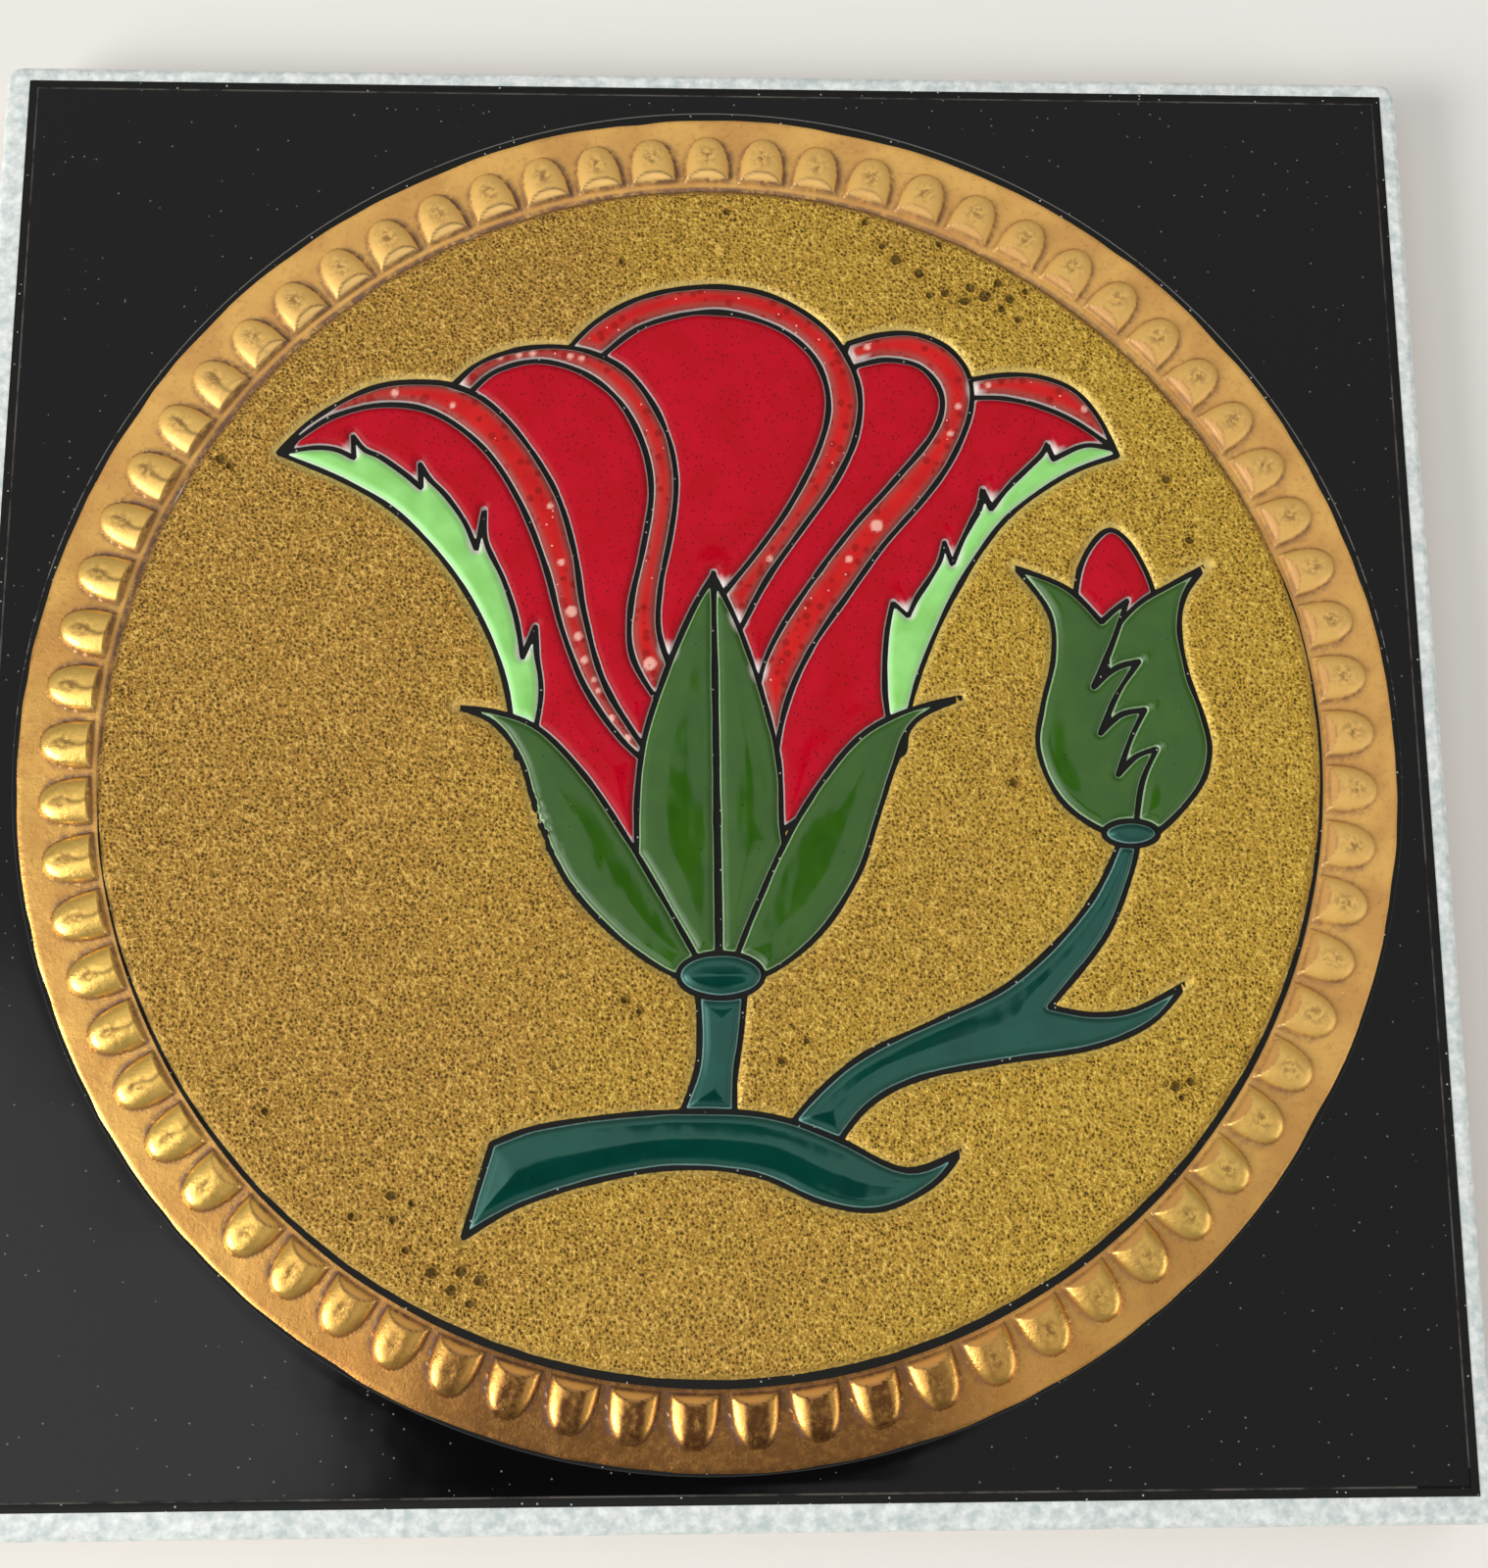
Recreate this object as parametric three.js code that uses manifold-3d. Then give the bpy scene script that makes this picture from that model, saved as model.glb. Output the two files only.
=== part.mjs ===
// Square decorative wall tile, pressed and fired in one piece.
// A plain margin runs round a raised panel. A ring of gadroons stands in the panel, and inside
// the ring lies a raised round field that carries a rose and a bud in raised glaze cells.
// Millimetres, +Z up. The origin is the middle of the underside, and +Y is the top of the picture.

import * as THREE from 'three';
import { mergeVertices } from 'three/addons/utils/BufferGeometryUtils.js';
import Module from 'manifold-3d';

// Body
const TILE_SIDE = 200;
const BODY_THICKNESS = 9;
const ARRIS_RADIUS = 1.2;
const CORNER_RADIUS = 2.4;

// Black panel, printed a little off the middle of the body
const MARGIN_WIDTH = 3;
const PANEL_OFFSET = new THREE.Vector2(0.5, 0.6);
const PANEL_RISE = 0.3;

// Gold ring on the panel: a smooth band, the gadroons with their round ends outwards, and a
// second smooth band
const RING_CENTRE = new THREE.Vector2(0.6, 0);
const RING_TO_PANEL_EDGE = 4.3;
const OUTER_BAND_WIDTH = 2.8;
const INNER_BAND_WIDTH = 1.8;
const GADROON_COUNT = 69;
const GADROON_LENGTH = 6.7;
const GADROON_GAP = 1;
const GADROON_RISE = 1.9;
const GADROON_SLOPE_RUN = 1.2;

// Round field inside the ring
const FIELD_RISE = 0.7;
const FIELD_SHOULDER = 0.6;

// Picture on the field: matt black lines between raised cells of glaze
const LINE_WIDTH = 1.3;
const CELL_RISE = 0.9;
const MITRE_LIMIT = 3.5;
const DRAWN_FIELD_RADIUS = 81.4;

// Facets
const ARRIS_STEPS = 3;
const CIRCLE_STEPS = 96;
const KNUCKLE_STEPS = 20;
const GADROON_STEPS = 8;
const GADROON_STATIONS = [0, 0.5, 0.85, 1];
const STEPS_PER_POINT = 1;

// How far a raised form is rooted in what lies below it
const ROOT_DEPTH = 2;

// Outlines of the picture along the middle of its black lines, as drawn for a field of the
// radius above: smooth stretches that meet in corners. A back is the rest of an outline that
// other forms cover, so it is only roughed in.
const LEFT_OUTER_EDGE = [
	[-59.3, 41.8], [-55.5, 46], [-50, 49.8], [-45.2, 51.8], [-40.4, 52.3], [-35.6, 51.8], [-30.8, 49.4],
	[-26, 44.3], [-21.2, 36.4], [-18.6, 28], [-17.2, 19.5], [-14.6, 10], [-10.4, 2.6], [-7, -2],
];
const LEFT_OUTER_BACK = [[-6, -10], [-10, -15], [-24, 0.5]];
const LEFT_OUTER_FOLD = [
	[-56.7, 43.8], [-52, 47.1], [-45.2, 48.9], [-38, 47.8], [-31, 42.5], [-26, 34.7], [-22.4, 25.5],
	[-20.2, 17.2], [-16.9, 8.8], [-12.1, 1.8], [-8, -2],
];
const LEFT_MARGIN_TEETH = [
	[[-58, 42], [-54.5, 42.6], [-51.5, 42.4], [-48.9, 41.2]], [[-49.1, 44.3]],
	[[-47.5, 42.4], [-45.2, 41.3], [-42, 39], [-39.6, 36.9]], [[-39.8, 40.3]],
	[[-38.5, 38.2], [-36.1, 35.7], [-33.5, 31.9], [-31.9, 28]], [[-30.9, 33.8]],
	[[-30.6, 29.2], [-28.2, 24], [-26.4, 18.6], [-25.4, 13]], [[-23.7, 17.3]],
	[[-23.5, 13.4], [-22.9, 9.5], [-23, 6.2], [-24, 0.5]],
];
const LEFT_MARGIN_EDGE = [
	[-26, -1], [-27.7, 9.5], [-30.8, 17.7], [-35.6, 25.6], [-42.4, 33], [-50, 37.8], [-59.3, 41.8],
];
const LEFT_INNER_EDGE = [
	[-35.5, 51.9], [-32.2, 55], [-27.4, 57], [-21.7, 57.7], [-16.4, 56.8], [-11.6, 54.1], [-8, 49.4],
	[-5.6, 43.8], [-4.7, 37.5], [-5.4, 30.6], [-6.8, 23], [-7, 16.5], [-4.8, 10],
];
const LEFT_INNER_BACK = [[-6, -4], [-14, 2], [-22, 26], [-33, 46]];
const LEFT_INNER_FOLD = [
	[-33, 51], [-29.6, 54], [-23.6, 55.5], [-17.2, 53.6], [-12.2, 49.2], [-9, 42.6], [-8.1, 36],
	[-9.2, 28.5], [-10.8, 20.5], [-10.8, 14], [-8.4, 8.8], [-5.5, 5.5],
];
const MIDDLE_EDGE = [
	[-19.5, 57.6], [-15.9, 61.4], [-10.5, 64.7], [-4.5, 66.4], [2, 66.8], [8.1, 65.7], [13.9, 62.6],
	[18.2, 58.2], [20.8, 51.8], [20.3, 45], [17.2, 38], [12.4, 31], [7.6, 23.9], [3, 15],
];
const MIDDLE_BACK = [[-4, 8], [-9, 14], [-10, 40], [-15, 50]];
const MIDDLE_FOLD = [
	[-14.7, 56.6], [-10.2, 60.3], [-4.9, 62.3], [0.4, 63], [5.7, 62.2], [11, 59.8], [15, 55.6],
	[16.5, 49.8], [15.3, 43.6], [11.4, 35.4], [6.6, 28.2], [0.5, 20.5],
];
const RIGHT_INNER_EDGE = [
	[19.4, 58.5], [23.9, 59.8], [28.7, 60], [33.3, 58], [36.2, 53.9], [36.3, 48.4], [33.6, 41.7],
	[29.4, 35.7], [23.6, 29.5], [17.9, 22.2], [12.4, 14.6], [9, 7], [7.6, -2],
];
const RIGHT_INNER_BACK = [[3, 4], [2, 18], [16, 50]];
const RIGHT_INNER_FOLD = [
	[20.6, 55.2], [24.9, 56.1], [29.7, 54.9], [32.4, 50.6], [31, 45.2], [25.4, 38.2], [19.5, 31.4],
	[14, 24], [9.3, 16.7], [6.8, 10.8], [5.5, 3],
];
const RIGHT_OUTER_EDGE = [
	[36.8, 53.3], [41.2, 54], [46, 53.8], [50.8, 51.9], [54.2, 47.9], [56.7, 42.2],
];
const RIGHT_OUTER_BACK = [[9, -11], [8, 6], [32, 50]];
const RIGHT_OUTER_FOLD = [
	[36.9, 50.6], [41.2, 50.5], [46, 49.4], [50.8, 47.2], [55.8, 43.6],
];
const RIGHT_MARGIN_EDGE = [
	[56.7, 42.2], [49.8, 39.5], [42.2, 34.2], [37.4, 28.6], [32.6, 20.6], [29, 12.6], [27, 6.4], [26, 0],
];
const RIGHT_MARGIN_TEETH = [
	[[24.5, 0], [23.2, 6], [23.1, 11], [23.6, 16.5], [24.8, 20.9]], [[27, 18.9]],
	[[28.2, 21.5], [30, 24.2], [31.5, 26.8], [32.2, 29.5]], [[33.2, 26.3]],
	[[34.5, 29.4], [36, 32.3], [37.2, 34.6], [37.7, 37.1]], [[38.8, 34.4]],
	[[41.2, 37.4], [43.6, 39.8], [46, 42.2], [46.9, 43.8]], [[47.7, 41.6]],
	[[49.4, 42.5], [51.3, 43.4], [53.2, 43.7], [56.2, 43.2]],
];
const MIDDLE_SEPAL = [
	[[0.4, 24.6], [3.8, 17.4], [6.9, 8.1], [9.1, -1.4], [9.2, -9.8], [6.5, -18], [1.2, -28]],
	[[-6, -20], [-9.7, -12.5], [-9.8, -5.1], [-8.7, 2.8], [-5.6, 12.2], [-2.4, 19.8], [0.4, 24.6]],
];
const SEPAL_RIB = [[[0.4, 25], [0.8, -29]], [[1.2, -29], [0.4, 25]]];
const LEFT_SEPAL = [
	[[-34.1, 6.1], [-28.6, 5.4], [-22.9, 3], [-16.7, -3.5], [-11.5, -11.3], [-6.8, -19.1], [0, -29]],
	[[-4.7, -29.6], [-12, -24.8], [-18.8, -17.3], [-22.9, -8.7], [-25.5, -0.9], [-29.2, 4], [-34.1, 6.1]],
];
const RIGHT_SEPAL = [
	[[33.8, 7.5], [26.8, 5.8], [20.2, 2.2], [14.5, -4.6], [9.8, -12.4], [5.4, -21.7], [2.5, -28]],
	[[7.2, -29.4], [14, -24.3], [19.2, -16.5], [22, -9], [24.6, -2], [27.5, 4.2], [33.8, 7.5]],
];
const STEM = [
	[[-2, -31], [-1.6, -36.8], [-2, -42.5], [-4.5, -49]],
	[[3, -50]],
	[[3, -43.6], [3.8, -38], [4.5, -31]],
];
const BRANCH = [
	[[8, -51.5], [12.7, -45.6], [19.5, -40.1], [29.3, -35.6], [38.5, -31.2], [46, -24.8], [51.2, -18.4],
		[55, -11.5]],
	[[57.3, -12]],
	[[55.7, -17.4], [52, -25.3], [44.3, -34.2]],
	[[50.2, -35], [56, -34.3], [62.7, -31.3]],
	[[58, -36.2], [50, -39.4], [37.9, -41.1], [27, -43.2], [20, -46.9], [15, -53.5]],
];
const STALK = [
	[[-28.6, -51.3], [-22.4, -49.2], [-12, -47.8], [-1.6, -47.3], [7.8, -48], [16.1, -50.9], [25.2, -55],
		[32.4, -52.8]],
	[[28.6, -57.1], [21.8, -60.2], [14.5, -59.4], [5.5, -55.7], [-4.7, -54.8], [-15.1, -56.4], [-25, -59.5],
		[-31.8, -63.4]],
	[[-28.6, -51.3]],
];
const BUD_PETAL = [
	[[49.5, 20], [50.3, 25.6], [52.4, 29.8], [55.1, 31.8], [57.7, 29.8], [60, 25.3], [61.5, 20]],
	[[54, 14], [49.5, 20]],
];
const BUD_RIGHT_SEPAL = [
	[[68.3, 26.3], [63, 23.4], [58.7, 20.8], [54, 16]],
	[[54, 0], [55.5, -12]],
	[[60, -10.4], [65.4, -4.8], [67.3, 0], [66.8, 5], [65, 11], [64.2, 17.5], [65.3, 22.4], [68.3, 26.3]],
];
const BUD_LEFT_SEPAL = [
	[[41.9, 25.9], [48.9, 23], [53.5, 18.2]],
	[[55.2, 19.8], [57.2, 21.3]],
	[[54.8, 15], [52.1, 9.1]],
	[[55.2, 11.7], [58.4, 12.7]],
	[[55.2, 8], [52.7, 2.6]],
	[[55.6, 5.2], [58.9, 5.9]],
	[[56.8, 1.8], [54.9, -3.1]],
	[[57.4, -0.6], [60.3, 0.5]],
	[[58, -4.5], [56.9, -11]],
	[[52.3, -10.3], [47, -6.2], [44.3, 0.5], [45, 6.4], [46.7, 13.3], [46.3, 19.6], [41.9, 25.9]],
];
const KNUCKLE = { centre: [1.2, -30], radii: [5.6, 2.95] };
const BUD_KNUCKLE = { centre: [56.1, -11.2], radii: [3.75, 1.75] };

const panelHalf = TILE_SIDE / 2 - MARGIN_WIDTH;
const ringOuterRadius = panelHalf - RING_TO_PANEL_EDGE;
const gadroonInnerRadius = ringOuterRadius - OUTER_BAND_WIDTH - GADROON_LENGTH;
const gadroonWidth = (2 * Math.PI * gadroonInnerRadius) / GADROON_COUNT - GADROON_GAP;
const fieldRadius = gadroonInnerRadius - INNER_BAND_WIDTH;
const fieldTop = BODY_THICKNESS + FIELD_RISE;
const pictureScale = fieldRadius / DRAWN_FIELD_RADIUS;

const wasm = await Module();
wasm.setup();

// A closed geometry as a solid that can be joined and cut.
function solidOf(geometry) {
	const bare = geometry.clone();
	bare.deleteAttribute('normal');
	bare.deleteAttribute('uv');
	const merged = mergeVertices(bare, 1e-4);
	return new wasm.Manifold(new wasm.Mesh({
		numProp: 3,
		vertProperties: new Float32Array(merged.attributes.position.array),
		triVerts: new Uint32Array(merged.index.array),
	}));
}

// A solid as a geometry for a mesh.
function geometryOf(solid) {
	const mesh = solid.getMesh();
	const geometry = new THREE.BufferGeometry();
	geometry.setAttribute('position', new THREE.BufferAttribute(new Float32Array(mesh.vertProperties), 3));
	geometry.setIndex(new THREE.BufferAttribute(new Uint32Array(mesh.triVerts), 1));
	geometry.computeVertexNormals();
	return geometry;
}

// A flat shape as a solid that stands from one height to another.
function slab(shape, bottom, top) {
	const geometry = new THREE.ExtrudeGeometry(shape, {
		depth: top - bottom,
		curveSegments: CIRCLE_STEPS / 2,
		bevelEnabled: false,
	});
	geometry.translate(0, 0, bottom);
	return solidOf(geometry);
}

function roundedSquare(side, radius) {
	const inner = side / 2 - radius;
	const shape = new THREE.Shape();
	shape.absarc(inner, inner, radius, 0, Math.PI / 2);
	shape.absarc(-inner, inner, radius, Math.PI / 2, Math.PI);
	shape.absarc(-inner, -inner, radius, Math.PI, Math.PI * 1.5);
	shape.absarc(inner, -inner, radius, Math.PI * 1.5, Math.PI * 2);
	return shape;
}

// The slab of the tile, with every arris rounded by the press and the fire.
function bodySolid() {
	const shape = roundedSquare(TILE_SIDE - 2 * ARRIS_RADIUS, CORNER_RADIUS - ARRIS_RADIUS);
	const geometry = new THREE.ExtrudeGeometry(shape, {
		depth: BODY_THICKNESS - 2 * ARRIS_RADIUS,
		curveSegments: ARRIS_STEPS,
		bevelThickness: ARRIS_RADIUS,
		bevelSize: ARRIS_RADIUS,
		bevelSegments: ARRIS_STEPS,
	});
	geometry.translate(0, 0, ARRIS_RADIUS);
	return solidOf(geometry);
}

// The raised black panel, open where the ring stands.
function panelSolid() {
	const square = new THREE.Shape([
		new THREE.Vector2(-panelHalf, -panelHalf),
		new THREE.Vector2(panelHalf, -panelHalf),
		new THREE.Vector2(panelHalf, panelHalf),
		new THREE.Vector2(-panelHalf, panelHalf),
	].map((corner) => corner.add(PANEL_OFFSET)));
	const opening = new THREE.Shape();
	opening.absarc(RING_CENTRE.x, RING_CENTRE.y, ringOuterRadius, 0, Math.PI * 2);
	return slab(square, BODY_THICKNESS - ROOT_DEPTH, BODY_THICKNESS + PANEL_RISE)
		.subtract(slab(opening, BODY_THICKNESS, BODY_THICKNESS + PANEL_RISE * 2));
}

// One gadroon lying along +X from its inner end: the upper half of a bullet.
// Its inner end is cut to a slope, and it is rooted in the body all round.
function gadroonGeometry() {
	const halfWidth = gadroonWidth / 2;
	const profile = GADROON_STATIONS.map((share) => new THREE.Vector2(
		halfWidth * Math.sqrt(1 - share * share),
		GADROON_LENGTH * share,
	));
	profile.unshift(new THREE.Vector2(0, 0));
	const bullet = new THREE.LatheGeometry(profile, GADROON_STEPS);
	bullet.rotateZ(-Math.PI / 2);
	bullet.scale(1, 1, GADROON_RISE / halfWidth);
	const slope = new THREE.Shape([
		new THREE.Vector2(-GADROON_LENGTH, -GADROON_RISE),
		new THREE.Vector2(0, 0),
		new THREE.Vector2(GADROON_SLOPE_RUN, GADROON_RISE),
		new THREE.Vector2(GADROON_SLOPE_RUN, GADROON_RISE * 2),
		new THREE.Vector2(-GADROON_LENGTH, GADROON_RISE * 2),
	]);
	const cutter = new THREE.ExtrudeGeometry(slope, { depth: gadroonWidth * 2, bevelEnabled: false });
	cutter.translate(0, 0, -gadroonWidth);
	cutter.rotateX(Math.PI / 2);
	return geometryOf(solidOf(bullet).subtract(solidOf(cutter)));
}

function gadroonSolids() {
	const model = gadroonGeometry();
	return Array.from({ length: GADROON_COUNT }, (_, index) => {
		const copy = model.clone();
		copy.translate(gadroonInnerRadius, 0, 0);
		copy.rotateZ((2 * Math.PI * index) / GADROON_COUNT + Math.PI / 2);
		copy.translate(RING_CENTRE.x, RING_CENTRE.y, BODY_THICKNESS);
		return solidOf(copy);
	});
}

// The round field, a disc with a soft shoulder.
function fieldSolid() {
	const root = BODY_THICKNESS - ROOT_DEPTH;
	const profile = [
		new THREE.Vector2(0, root),
		new THREE.Vector2(fieldRadius, root),
		new THREE.Vector2(fieldRadius, BODY_THICKNESS),
		new THREE.Vector2(fieldRadius - FIELD_SHOULDER, fieldTop),
		new THREE.Vector2(0, fieldTop),
	];
	const geometry = new THREE.LatheGeometry(profile, CIRCLE_STEPS);
	geometry.rotateX(Math.PI / 2);
	geometry.translate(RING_CENTRE.x, RING_CENTRE.y, 0);
	return solidOf(geometry);
}

// The points along smooth stretches that meet in corners.
function run(...stretches) {
	const path = new THREE.Path();
	path.moveTo(stretches[0][0][0] * pictureScale, stretches[0][0][1] * pictureScale);
	for (const stretch of stretches) {
		const through = stretch.map(([x, y]) => new THREE.Vector2(x, y).multiplyScalar(pictureScale));
		if (through[0].equals(path.currentPoint)) through.shift();
		if (through.length === 1) path.lineTo(through[0].x, through[0].y);
		else path.splineThru(through);
	}
	return path.getPoints(STEPS_PER_POINT);
}

// A closed outline made of runs, anticlockwise and with no point twice.
function outline(...runs) {
	const points = runs.flat();
	const least = LINE_WIDTH / 10;
	const distinct = points.filter((point, index) => point.distanceTo(points.at(index - 1)) > least);
	return THREE.ShapeUtils.isClockWise(distinct) ? distinct.reverse() : distinct;
}

function ellipse({ centre, radii }) {
	const values = [...centre, ...radii].map((value) => value * pictureScale);
	return new THREE.EllipseCurve(...values).getPoints(KNUCKLE_STEPS).slice(1);
}

function distanceToOutline(point, points) {
	return Math.min(...points.map((start, index) => {
		const along = points[(index + 1) % points.length].clone().sub(start);
		const share = THREE.MathUtils.clamp(point.clone().sub(start).dot(along) / along.lengthSq(), 0, 1);
		return start.clone().addScaledVector(along, share).distanceTo(point);
	}));
}

// An outline moved outwards by a distance, or inwards by a negative one, with mitred corners.
// What comes too close to the old outline, as in a narrow tip, is left out.
function moved(points, distance) {
	return points.map((point, index) => {
		const into = point.clone().sub(points.at(index - 1)).normalize();
		const out = points[(index + 1) % points.length].clone().sub(point).normalize();
		const bisector = new THREE.Vector2(into.y + out.y, -into.x - out.x).normalize();
		const mitre = 1 / Math.max(bisector.dot(new THREE.Vector2(into.y, -into.x)), 1 / MITRE_LIMIT);
		return point.clone().addScaledVector(bisector, distance * mitre);
	}).filter((point) => distanceToOutline(point, points) > Math.abs(distance) * 0.98);
}

// One cell of glaze: a form inside its line, as far as no form before it covers it.
function cellSolid(points, before) {
	const root = fieldTop - ROOT_DEPTH / 2;
	const top = fieldTop + CELL_RISE;
	return wasm.Manifold.difference([
		slab(new THREE.Shape(moved(points, -LINE_WIDTH / 2)), root, top),
		...before.map((form) => slab(new THREE.Shape(moved(form, LINE_WIDTH / 2)), root - 1, top + 1)),
	]);
}

const leftMargin = run(...LEFT_MARGIN_TEETH);
const rightMargin = run(...RIGHT_MARGIN_TEETH);

// The forms of the picture, from the one behind all the others to the one before them.
const forms = {
	rightOuterPetal: outline(run(RIGHT_OUTER_EDGE), run(RIGHT_MARGIN_EDGE), run(RIGHT_OUTER_BACK)),
	rightOuterBody: outline(run(RIGHT_OUTER_FOLD), rightMargin.toReversed(), run(RIGHT_OUTER_BACK)),
	rightMargin: outline(run(RIGHT_MARGIN_EDGE), rightMargin),
	rightInnerPetal: outline(run(RIGHT_INNER_EDGE), run(RIGHT_INNER_BACK)),
	rightInnerBody: outline(run(RIGHT_INNER_FOLD), run(RIGHT_INNER_BACK)),
	middlePetal: outline(run(MIDDLE_EDGE), run(MIDDLE_BACK)),
	middleBody: outline(run(MIDDLE_FOLD), run(MIDDLE_BACK)),
	leftInnerPetal: outline(run(LEFT_INNER_EDGE), run(LEFT_INNER_BACK)),
	leftInnerBody: outline(run(LEFT_INNER_FOLD), run(LEFT_INNER_BACK)),
	leftOuterPetal: outline(run(LEFT_OUTER_EDGE), run(LEFT_OUTER_BACK), run(LEFT_MARGIN_EDGE)),
	leftOuterBody: outline(run(LEFT_OUTER_FOLD), run(LEFT_OUTER_BACK), leftMargin.toReversed()),
	leftMargin: outline(leftMargin, run(LEFT_MARGIN_EDGE)),
	middleSepal: outline(run(...MIDDLE_SEPAL)),
	sepalRib: outline(run(...SEPAL_RIB)),
	leftSepal: outline(run(...LEFT_SEPAL)),
	rightSepal: outline(run(...RIGHT_SEPAL)),
	stem: outline(run(...STEM)),
	branch: outline(run(...BRANCH)),
	stalk: outline(run(...STALK)),
	knuckle: ellipse(KNUCKLE),
	budPetal: outline(run(...BUD_PETAL)),
	budRightSepal: outline(run(...BUD_RIGHT_SEPAL)),
	budLeftSepal: outline(run(...BUD_LEFT_SEPAL)),
	budKnuckle: ellipse(BUD_KNUCKLE),
};

const glazedCeramic = new THREE.MeshStandardMaterial({
	name: 'glazed_ceramic',
	color: 0xb08a3c,
	roughness: 0.35,
	metalness: 0,
});

// The rib is only a line, so it takes away from the sepal and has no cell of its own.
const order = Object.values(forms);
const cells = order
	.map((form, index) => (form === forms.sepalRib ? null : cellSolid(form, order.slice(index + 1))))
	.filter((cell) => cell !== null);
const tileSolid = wasm.Manifold.union([
	bodySolid(),
	panelSolid(),
	fieldSolid(),
	...gadroonSolids(),
	...cells,
]);
const tile = new THREE.Mesh(geometryOf(tileSolid), glazedCeramic);
tile.name = 'tile';

const group = new THREE.Group();
group.add(tile);
export default group;
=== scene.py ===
"""Square decorative wall tile with a gold gadrooned ring and a rose in raised coloured glazes.

Metres in Blender, and millimetres in the tables and the shape functions of this file.
The origin is the middle of the tile's underside, +Z is up and +Y is the top of the picture.
"""

import math

import bpy
import numpy as np
from mathutils import Matrix, Vector


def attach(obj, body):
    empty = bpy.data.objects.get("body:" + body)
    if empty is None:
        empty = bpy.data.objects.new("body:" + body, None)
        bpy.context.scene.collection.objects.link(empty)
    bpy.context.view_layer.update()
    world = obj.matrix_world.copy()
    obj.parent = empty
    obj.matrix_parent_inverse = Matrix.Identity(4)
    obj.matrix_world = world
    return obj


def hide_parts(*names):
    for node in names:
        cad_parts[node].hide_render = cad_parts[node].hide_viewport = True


bl_info = {
    "name": "Decorated ceramic tile",
    "version": (1, 0, 0),
    "blender": (4, 5, 0),
    "location": "View3D > Sidebar > Tile",
    "description": "Builds a glazed wall tile with a gold ring and a rose, piece by piece",
    "category": "Object",
}

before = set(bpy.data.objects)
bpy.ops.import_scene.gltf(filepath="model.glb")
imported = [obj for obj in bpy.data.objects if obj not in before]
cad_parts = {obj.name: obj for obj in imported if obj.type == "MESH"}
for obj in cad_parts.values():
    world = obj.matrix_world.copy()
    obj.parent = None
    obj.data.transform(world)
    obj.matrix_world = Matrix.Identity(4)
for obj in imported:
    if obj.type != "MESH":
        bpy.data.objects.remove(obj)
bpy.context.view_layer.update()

MM = 0.001
SEED = 7

# Places and sizes that the pieces share, in millimetres
RING_CENTRE = (0.6, 0.0)
RING_OUTER = 92.75
RING_INNER = 81.3
PANEL_CENTRE = (0.5, 0.6)
PANEL_HALF = 97.0
BARE_LINE = 0.28
BEAD_START = 83.15
BEAD_LENGTH = 6.7
BEAD_HALF_WIDTH = 3.2
CUT_LENGTH = 1.1
FIELD_RADIUS = 82.2

# Middle and radius of the round opening in the black ground
BLACK_HOLE = (0.6, 0.34, 93.26)

# Where the ring's gold is worn through, and round which the beads' middles get a painted dark reflection
WORN_FOOT = (-3.0, -92.0, 9.5)

# Number of beads and the angle that each takes up, the power that makes their outer ends blunt, and two
# angles in degrees: that of the first bead, and that at which the inner black line is thinnest
BEAD_COUNT = 69
BEAD_TURN = 2 * math.pi / BEAD_COUNT
BEAD_BLUNTNESS = 3.2
BEAD_PHASE = 90.6
INNER_LINE_LEAN = 102

# How much smaller the field's radius is where the inner line is widest, and on the opposite side
FIELD_SHIFT = 0.95
UPPER_SHIFT = 0.7

# Heights above the back, in millimetres. The body's face is at FACE and all feet sink into it
FACE = 9.0
PLATE_FOOT = 8.9
FIELD_FOOT = 8.95
OUTER_LINE_TOP = 9.09
PANEL_TOP = 9.1
BORDER_TOP = 9.12
GREY_EDGE_TOP = 9.14
BAND_TOP = 9.22
INNER_LINE_TOP = 9.42
LINE_TOP = 9.72

# Width of a pool's rounded shore, and of the narrower one of a rim
POOL_SHORE = 0.95
RIM_SHORE = 0.8

# How far a line's edge strays from its curve everywhere, and how far more it does where it is frayed, near
# the left sepal: wholly inside the first radius and not at all past the second
WAVER = 0.03
FRAY = 0.16
FRAY_PLACE = (-22.5, -10)
FRAY_RADII = (3, 6)

# Radius of the pale end that a pool has at a thin tip, and how far the paleness is past full in its middle
TIP_RADIUS = 1.7
TIP_PEAK = 1.1

# Camera, fitted to the square, the ring and the edges of the photographed tile
PHOTO_HEIGHT = 1600
SENSOR_HEIGHT = 36
FOCAL_PIXELS = 2036.47
CAMERA_PLACE = (-4.84, -55.05, 271.93)
CAMERA_AHEAD = (0.03458, 0.18964, -0.98124)
CAMERA_UP = (-0.0006, 0.98184, 0.18974)

# Dark things and the bright one overhead, as seen from the tile: middle and radii in the direction's x and y
DARK_OVERHEAD = (((-0.03, -0.47), (0.16, 0.38)), ((0.0, -0.075), (0.14, 0.1)), ((0.05, 0.17), (0.1, 0.06)))
BRIGHT_OVERHEAD = ((-0.42, -0.16), (0.3, 0.27))

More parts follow.
